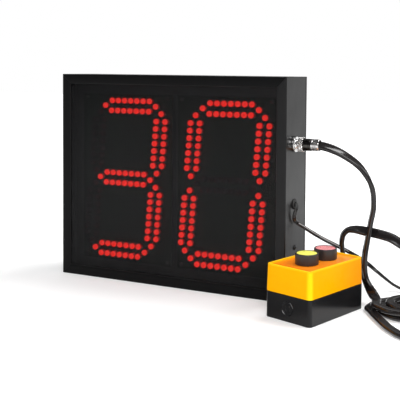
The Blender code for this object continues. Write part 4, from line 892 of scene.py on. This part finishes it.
def sleeve(line, sides):
    """Tapered ribbed rubber sleeve over the lead just outside the wall."""
    sections = []
    for share, rib in zip(np.linspace(0, 1, 7), (0, 0.00018, 0, 0, 0.00018, 0, 0)):
        sections.append(oval(0.0031 - 0.0003 * share - rib, 0.0024 - 0.0008 * share - rib, 24))
    finished("lead_sleeve", swept(line, sides, sections), [RUBBER], "black_rubber", smooth=60.0)


def mains_plug(start, heading):
    """Two-blade plug with a ribbed tapered relief, lying on the floor, and the tie of the lead's coil."""
    bm = bmesh.new()
    block(bm, (0.02, -0.012, -0.009), (0.052, 0.012, 0.009), 0.0035, 5)
    for i in range(6):
        x = 0.0005 + i * 0.0031
        wide = 0.004 + 0.0016 * i / 5
        block(bm, (x, -wide, -wide * 0.75), (x + 0.0022, wide, wide * 0.75), 0.0006)
    block(bm, (0.0, -0.0034, -0.0024), (0.0215, 0.0034, 0.0024), 0.0008)
    for y in (-0.00635, 0.00635):
        block(bm, (0.049, y - 0.00075, -0.00315), (0.0685, y + 0.00075, 0.00315), 0.0004, 2, 1)
    for i in range(3):
        block(bm, (0.026 + i * 0.006, -0.01235, -0.006), (0.0285 + i * 0.006, 0.01235, 0.006), 0.0008)
    finished("mains_plug_body", bm, [PLASTIC, CHROME], "black_plastic", "mains_plug",
             matrix=Matrix.Translation(start) @ turned(math.atan2(heading.y, heading.x)))
    refined("lead_tie", [DULL_PLASTIC], 0.0002, "black_plastic")


def knurled(bm, radius, bore, low, high, teeth=44, rows=8):
    """Ring with a crossed knurl between two plain bevelled ends."""
    edge = 0.0007
    rims = [(bore, low), (radius - 0.0006, low), (radius, low + edge)]
    rims += [(radius, low + edge + (high - low - 2 * edge) * k / (rows * 2)) for k in range(1, rows * 2)]
    rims += [(radius, high - edge), (radius - 0.0006, high), (bore, high)]
    for vert in spun(bm, [(r * MM, h * MM) for r, h in rims], teeth * 4):
        reach = math.hypot(vert.co.x, vert.co.y)
        if reach < radius - 0.0001 or not low + edge < vert.co.z < high - edge:
            continue
        angle = math.atan2(vert.co.y, vert.co.x) * teeth / 2
        rise = (vert.co.z - low) / (high - low) * math.pi * 3
        cut = max(abs(math.cos(angle + rise)), abs(math.cos(angle - rise)))
        shrink = 1.0 - 0.0003 * (1 - cut) * 3.4 / radius
        vert.co.x *= shrink
        vert.co.y *= shrink


def connector():
    """Panel socket with its thread and pins, nut, coupling ring, plug shell and cable clamp."""
    bm = bmesh.new()
    thread = [(6.6 - 0.3 * (k % 2), 4 + k * 0.5) for k in range(17)]
    spun(bm, [(0, -17.8), (6.6, -17.8), (7.8, -16.8), (7.8, 0.3), (9.8, 0.3), (10.2, 0.7), (10.2, 3.1),
              (9.8, 3.6), (9, 3.8), (8.4, 3.4), (7.2, 3.4), *thread, (6.2, 12.5), (0, 12.5)])
    for k in range(5):
        angle = FULL * k / 5
        spun(bm, [(0, -21.2), (0.7, -21), (0.8, -17.6), (0, -17.6)], 12,
             moved(0.0034 * math.cos(angle), 0.0034 * math.sin(angle), 0), 1)
    finished("socket_turned", bm, [CHROME, BRASS], "bright_chrome", "socket", matrix=AT_SOCKET)
    refined("socket_nut", [CHROME], 0.0004, "bright_chrome")
    bm = bmesh.new()
    knurled(bm, 0.0093, 0.0084, 0.0072, 0.014)
    finished("coupling_ring_knurled", bm, [GLINTING_CHROME], "bright_chrome", "coupling_ring", matrix=AT_SOCKET,
             body="ring", smooth=30.0)
    bm = bmesh.new()
    spun(bm, [(0, 23.8), (7.2, 23.8), (7.7, 23.4), (7.7, 22.6), (7.3, 22.4), (7.3, 21.8), (7.8, 21.5),
              (7.8, 17.2), (7.6, 16.8), (7.6, 16), (7.8, 15.6), (7.8, 14.9), (7.4, 14.4), (8, 14.4), (8, 8),
              (6.9, 8), (6.9, 12.9), (0, 12.9)])
    finished("plug_shell_turned", bm, [SHADED_CHROME], "bright_chrome", "plug_shell", matrix=AT_SOCKET)
    bm = bmesh.new()
    spun(bm, [(0, 24.3), (7, 24.3), (7.6, 24.8), (7.6, 26.2), (7.2, 26.6), (7.2, 27.6), (7.6, 28),
              (7.6, 32.2), (7.3, 34.5), (7, 35), (6.8, 35), (6.8, 25.8), (0, 25.8)])
    for side in (-1, 1):
        for k in range(8):
            block(bm, (0.007, -0.0003, 0.0284), (0.0079, 0.0003, 0.0318), 0.0001, 1,
                  matrix=turned(side * math.pi / 2 + (k - 3.5) * 0.16))
    for y in (-0.0042, 0.0042):
        stamp(bm, SCREW_SMALL, x_axis(0.0062, y, 0.03))
    finished("plug_clamp_turned", bm, [GLINTING_CHROME], "bright_chrome", "plug_clamp", matrix=AT_SOCKET)


def wall_details():
    """Grommet of the lead and the screw below it."""
    bm = bmesh.new()
    spun(bm, [(3.2, -3.2), (5.6, -3.2), (6.1, -2.9), (6.1, -2.1), (4.7, -2.1), (4.7, 0.3), (6.5, 0.3),
              (6.8, 0.6), (6.7, 1.1), (6.2, 1.6), (5.5, 1.9), (4.6, 1.9), (3.7, 1.8), (3.2, 1.4)], 48)
    finished("lead_grommet_moulded", bm, [RUBBER], "black_rubber", "lead_grommet",
             matrix=x_axis(WALL_X, OUTLET_Y, OUTLET_Z))
    bm = bmesh.new()
    bm.from_mesh(cross_screw(3.4, 1.6))
    finished("side_screw_head", bm, [BLACKENED], "rail_black", "side_screw",
             matrix=x_axis(WALL_X + 0.00015, *SIDE_SCREW))


def cabinet():
    """Rails with their lips, smoked panel, rear cover, corner brackets and chassis plate."""
    # The rails' front faces take the darker copy of the paint: painted shade.
    def lips(bm):
        for face in bm.faces:
            if face.normal.y < -0.7 and face.calc_center_median().y < FRONT_Y + 0.0005:
                face.material_index = 1
    for name in ("rail_top", "rail_bottom", "rail_left"):
        refined(name, [PAINT, LIP_SHADED_PAINT], 0.00035, "rail_black", extra=lips)
    refined("rail_right", [PAINT], 0.00035, "rail_black")
    refined("front_panel", [ACRYLIC], 0.0003, "smoked_panel")

    def cover_screws(bm):
        rows = (COVER_SCREW_INSET, CAB_H - COVER_SCREW_INSET)
        places = [(x, z) for x in (-COVER_SCREW_X, 0.0, COVER_SCREW_X) for z in rows]
        for x, z in places + [(-COVER_SCREW_X, CAB_H / 2), (COVER_SCREW_X, CAB_H / 2)]:
            stamp(bm, SCREW_M3, y_axis(x, BACK_Y, z) @ turned(x * 40 + z * 9), 1)
    refined("rear_cover", [PAINT, ZINC], 0.0006, "rail_black", 3, cover_screws)
    for name in ("bracket_bottom_left", "bracket_bottom_right", "bracket_top_left", "bracket_top_right"):
        refined(name, [ZINC], 0.0003, "zinc_steel")

    def board_screws(bm):
        for x in (-0.14, 0.0, 0.14):
            for z in (0.026, 0.262):
                stamp(bm, SCREW_M3, y_axis(x, CHASSIS_BACK_Y, z))
    refined("chassis_plate", [ZINC], 0.0003, "zinc_steel", extra=board_screws)


def led_places():
    """LED centres of one digit by segment, round its middle."""
    half = SEG_LEN / 2
    rows = [(i * LED_PITCH, side * LED_ROW_GAP / 2) for i in range(-3, 4) for side in (-1, 1)]
    rows += [(-LED_TIP, 0.0), (LED_TIP, 0.0)]
    level = {"a": SEG_LEN, "g": 0.0, "d": -SEG_LEN}
    upright = {"f": (-half, half), "b": (half, half), "e": (-half, -half), "c": (half, -half)}
    places = {key: [(along, z + across) for along, across in rows] for key, z in level.items()}
    for key, (x, z) in upright.items():
        places[key] = [(x + across, z + along) for along, across in rows]
    return {key: [(x + SLANT * z, z) for x, z in spots] for key, spots in places.items()}


def digit(name, centre_x, shown):
    """Board with its screws and resistors, the lit LEDs of one figure and the unlit rest."""
    bm = bmesh.new()
    block(bm, (centre_x - BOARD_W / 2, BOARD_FRONT_Y, DIGIT_Z - BOARD_H / 2),
          (centre_x + BOARD_W / 2, BOARD_FRONT_Y + BOARD_T, DIGIT_Z + BOARD_H / 2), 0.0002, 1)
    for x, z in corners(BOARD_W / 2 - 0.006, BOARD_H / 2 - 0.005):
        stamp(bm, SCREW_M3, minus_y(centre_x + x, BOARD_FRONT_Y, DIGIT_Z + z), 1)
    for spots in led_places().values():
        for x, z in spots[2:12:3]:
            block(bm, (centre_x + x + 0.0048, BOARD_FRONT_Y - 0.0006, DIGIT_Z + z - 0.0006),
                  (centre_x + x + 0.0068, BOARD_FRONT_Y + 0.0002, DIGIT_Z + z + 0.0006), 0.0001, 1, 2)
    finished(name + "_panel", bm, [MASK, ZINC, CHIP], "board", name)
    bm = bmesh.new()
    spun(bm, LED_PROFILE, 13)
    pattern = as_mesh(bm)
    for suffix, mat in (("_lit_leds", LIT), ("_unlit_leds", UNLIT)):
        bm = bmesh.new()
        for key, spots in led_places().items():
            if (key in shown) == (mat is LIT):
                for x, z in spots:
                    stamp(bm, pattern, minus_y(centre_x + x, BOARD_FRONT_Y, DIGIT_Z + z))
        finished(name + suffix, bm, [mat], "board", smooth=60.0)


def supply_details(bm):
    """Rows of raised louvres and the lid's screws on the power supply's case."""
    x, z = SUPPLY_AT
    back = CHASSIS_BACK_Y + SEAT + SUPPLY_DEPTH
    for row in (-0.013, 0.013):
        for k in range(-4, 5):
            along = x + k * 0.009
            block(bm, (along - 0.0022, back - 0.0004, z + row - 0.0075),
                  (along + 0.0022, back + 0.0006, z + row + 0.0075), 0.0004)
    for across, up in corners(0.05, 0.025):
        stamp(bm, SCREW_SMALL, y_axis(x + across, back, z + up))


def electronics():
    """Power supply, controller board with its parts, and terminal block."""
    refined("power_supply", [ZINC], 0.0004, "supply_case", extra=supply_details)
    bm = bmesh.new()
    x, z = CONTROLLER_AT
    low = CHASSIS_BACK_Y + SEAT + STANDOFF
    top = low + BOARD_T
    block(bm, (x - 0.05, low, z - 0.0375), (x + 0.05, top, z + 0.0375), 0.0002, 1)
    for across, up, wide, tall, thick, index in (
            (-0.01, 0.008, 0.036, 0.014, 0.004, 1), (0.026, 0.006, 0.012, 0.012, 0.008, 3),
            (0.02, -0.022, 0.03, 0.008, 0.009, 2), (-0.028, -0.018, 0.016, 0.01, 0.003, 1)):
        block(bm, (x + across - wide / 2, top - 0.0002, z + up - tall / 2),
              (x + across + wide / 2, low + 0.0008 + thick, z + up + tall / 2), 0.0005, 2, index)
    for k in range(14):
        pin = x - 0.0265 + k * 0.00254
        for row in (z + 0.0005, z + 0.0155):
            block(bm, (pin - 0.00025, top - 0.0001, row - 0.0008),
                  (pin + 0.00025, top + 0.0014, row + 0.0008), 0.0, 1, 4)
    for k in range(5):
        stamp(bm, SCREW_SMALL, y_axis(x + 0.009 + k * 0.0055, low + 0.0094, z - 0.022), 4)
    finished("controller_board_panel", bm, [MASK, CHIP, TERMINAL, RELAY, ZINC], "board", "controller_board")

    def terminal_screws(bm):
        for k in range(4):
            stamp(bm, SCREW_SMALL, y_axis(TERMINAL_AT[0] + (k - 1.5) * 0.009,
                                          CHASSIS_BACK_Y + SEAT + TERMINAL_DEPTH - 0.0004, TERMINAL_AT[1]), 1)
    refined("terminal_block", [TERMINAL, ZINC], 0.0005, "terminal", extra=terminal_screws)


def box_shell(bm, length, width, low, high, corner):
    """Box with rounded upright edges; gives back its lowest and highest face."""
    place = moved(0, 0, (low + high) / 2) @ Matrix.Diagonal((length, width, high - low, 1.0))
    made = bmesh.ops.create_cube(bm, size=1.0, matrix=place)["verts"]
    upright = [e for e in edges_of(made) if abs(e.verts[0].co.z - e.verts[1].co.z) > 0.001]
    soften(bm, upright, corner, 6)
    bm.faces.ensure_lookup_table()
    order = sorted(bm.faces, key=lambda f: f.calc_center_median().z)
    return order[0], order[-1]


def sunk(bm, face, inset, drop):
    """Inset a face and extrude what is left of it along Z; gives back the new face."""
    bmesh.ops.inset_region(bm, faces=[face], thickness=inset, depth=0.0, use_even_offset=True,
                           use_boundary=True)
    made = bmesh.ops.extrude_face_region(bm, geom=[face])["geom"]
    end = [g for g in made if isinstance(g, bmesh.types.BMFace)][0]
    if face.is_valid:
        bmesh.ops.delete(bm, geom=[face], context="FACES_ONLY")
    bmesh.ops.translate(bm, vec=(0, 0, drop), verts=end.verts[:])
    return end


def hole(bm, radius, low, high, matrix):
    cutter = bmesh.new()
    spun(cutter, [(0, low), (radius, low), (radius, high), (0, high)], 64, matrix)
    return carved(bm, cutter)


def station_base():
    """Open base with its knock-out, whose rim gets two crescents of painted highlight, and the sealing ring.
    """
    bm = bmesh.new()
    _, high = box_shell(bm, ST_L, ST_W, 0.0, BASE_H, ST_CORNER)
    rebate = sunk(bm, high, 0.0024, -0.0018)
    sunk(bm, rebate, 0.0018, -(BASE_H - 0.0018 - 0.003))
    soften(bm, sharp_edges(bm, 50.0), 0.0005)
    bm = hole(bm, 10.1, -6, 2, x_axis(ST_L / 2, 0, GLAND_Z))
    bm = hole(bm, 8.8, -2, 6, x_axis(-ST_L / 2, 0, GLAND_Z))
    finished("station_base_moulded", bm, [PLASTIC], "black_plastic", "station_base", matrix=STATION)
    bm = bmesh.new()
    spun(bm, [(0, 0.8), (3, 0.8), (3.4, 0.3), (4, 0.3), (4.4, 0.8), (6.2, 0.8), (6.6, 0.3), (7.2, 0.3),
              (7.6, 0.8), (8.2, 0.6), (8.5, 0.2), (8.5, 3.2), (0, 3.2)], 64, AT_KNOCKOUT)
    # Two crescents on the knock-out's rim take a pale tone: painted highlight.
    across = STATION.to_3x3() @ Vector((0, -1, 0))
    for face in bm.faces:
        away = face.calc_center_median() - AT_KNOCKOUT.translation
        reach = math.hypot(away.dot(across), away.z)
        turn = math.degrees(math.atan2(away.z, away.dot(across)))
        if (reach > 0.0078 and 12 < turn < 66) or (reach > 0.0082 and -160 < turn < -118):
            face.material_index = 1
    finished("knockout_moulded", bm, [PLASTIC, KNOCKOUT_GLINT], "black_plastic", "knockout_plug")
    refined("station_seal", [RUBBER], 0.0001, "black_rubber", 1)


def station_cover():
    """Tapered cover with a recessed top in its own tone and the holes of the buttons."""
    bm = bmesh.new()
    low, high = box_shell(bm, ST_L, ST_W, BASE_H + SEAT, COVER_TOP, ST_CORNER)
    bmesh.ops.scale(bm, vec=((ST_L - 0.0016) / ST_L, (ST_W - 0.0016) / ST_W, 1.0), verts=high.verts[:])
    under = sunk(bm, low, 0.0022, ROOF_Z - ROOF_T - BASE_H - SEAT)
    bmesh.ops.scale(bm, vec=(0.985, 0.975, 1.0), verts=under.verts[:])
    sunk(bm, high, RIM_W, ROOF_Z - COVER_TOP)
    soften(bm, sharp_edges(bm, 50.0), 0.0006, 3)
    for face in bm.faces:
        if ROOF_Z - 0.0006 < face.calc_center_median().z < COVER_TOP - 0.0008 and face.normal.z > 0.35:
            face.material_index = 1
    for _, x in BUTTONS:
        bm = hole(bm, 11.2, ROOF_Z * MM - 4, ROOF_Z * MM + 1, moved(x, 0, 0))
    finished("station_cover_moulded", bm, [SIDE_YELLOW, TOP_ORANGE], "station_yellow", "station_cover",
             matrix=STATION)


def push_button(colour, x):
    """Bezel with its barrel, cap with its stem and clip, barrel nut and contact block."""
    at = STATION @ moved(x, 0, 0)
    bm = bmesh.new()
    spun(bm, [(10.9, 42), (10.9, 61), (10.6, 61.5), (10.9, 62.3), (13.9, 62.3), (14.2, 62.7), (14.2, 73.5),
              (14.1, 74.6), (13.8, 75.3), (13.4, 75.6), (13, 75.5), (12.8, 75.1), (12.8, 64), (8.2, 64),
              (8.2, 44), (5.3, 44), (5.3, 42)], 72)
    finished(f"bezel_{colour}_turned", bm, [SATIN], "black_plastic", f"bezel_{colour}", matrix=at)
    bm = bmesh.new()
    spun(bm, [(0, 40.2), (6.6, 40.2), (6.6, 41.6), (5, 41.6), (5, 71.4), (12.2, 71.4), (12.5, 71.7),
              (12.5, 74.3), (12.3, 75), (11.9, 75.3), (11.2, 75.4), (6, 75.25), (0, 75.2)], 72)
    finished(f"cap_{colour}_moulded", bm, [CAP_LOOKS[colour]], f"cap_{colour}", f"cap_{colour}", matrix=at,
             body=f"{colour}_button")
    refined(f"nut_{colour}", [PLASTIC], 0.0004, "black_plastic")

    def terminal_details(bm):
        for along, across in corners(0.0085, 0.0085):
            stamp(bm, SCREW_SMALL, at @ moved(along, across, 0.0407))
    refined(f"contact_block_{colour}", [DULL_PLASTIC], 0.0004, "black_plastic", extra=terminal_details)


def return_spring(colour, x):
    """Round-wire spring with closed ends."""
    name = "spring_" + colour
    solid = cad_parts[name]
    heights = [(solid.matrix_world @ Vector(corner)).z for corner in solid.bound_box]
    foot = min(heights)
    height = max(heights) - foot
    steps = SPRING_TURNS * 24
    line = []
    sides = []
    for i in range(steps + 1):
        angle = FULL * SPRING_TURNS * i / steps
        share = min(max((i / steps - 0.08) / 0.84, 0.0), 1.0)
        out = np.array((math.cos(angle), math.sin(angle), 0.0))
        rise = foot + SPRING_WIRE / 2 + (height - SPRING_WIRE) * share
        line.append(out * SPRING_R + np.array((0.0, 0.0, rise)))
        sides.append(out)
    bm = swept(line, sides, [oval(SPRING_WIRE * 0.49, SPRING_WIRE * 0.49, 10)] * len(line))
    wound = finished(name + "_wound", bm, [ZINC], "zinc_steel", name, matrix=STATION @ moved(x, 0, 0),
                     smooth=60.0)
    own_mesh(wound)


def gland():
    """Hexagon, barrel and ribbed dome of the cable gland, and its nut inside the base."""
    bm = bmesh.new()
    low, high = 0.0003, 0.0043
    made = bmesh.ops.create_cone(bm, cap_ends=True, segments=6, radius1=0.0122, radius2=0.0122,
                                 depth=high - low, matrix=moved(0, 0, (low + high) / 2))["verts"]
    soften(bm, edges_of(made), 0.0005)
    spun(bm, [(6.8, -10.2), (9.4, -10.2), (9.8, -9.8), (9.8, 3.5), (11, 3.5), (11.2, 5), (11.2, 6),
              (10.6, 6.2), (10.6, 15), (10.2, 16.6), (9.4, 17.8), (8.4, 18.3), (6.8, 18.3)])
    for k in range(18):
        block(bm, (0.01, -0.0006, 0.006), (0.0112, 0.0006, 0.0145), matrix=turned(FULL * k / 18))
    finished("gland_body_moulded", bm, [PLASTIC], "black_plastic", "gland_body", matrix=AT_GLAND)
    refined("gland_nut", [PLASTIC], 0.0004, "black_plastic")


camera()
lamps()
surroundings()
ground()
bpy.context.scene.view_settings.view_transform = "Standard"
connector()
wall_details()
mains_lead()
control_cable()
cabinet()
digit("led_board_tens", -DIGIT_X, "abcdg")
digit("led_board_units", DIGIT_X, "abcdef")
electronics()
station_base()
station_cover()
for name, place in BUTTONS:
    push_button(name, place)
    return_spring(name, place)
gland()
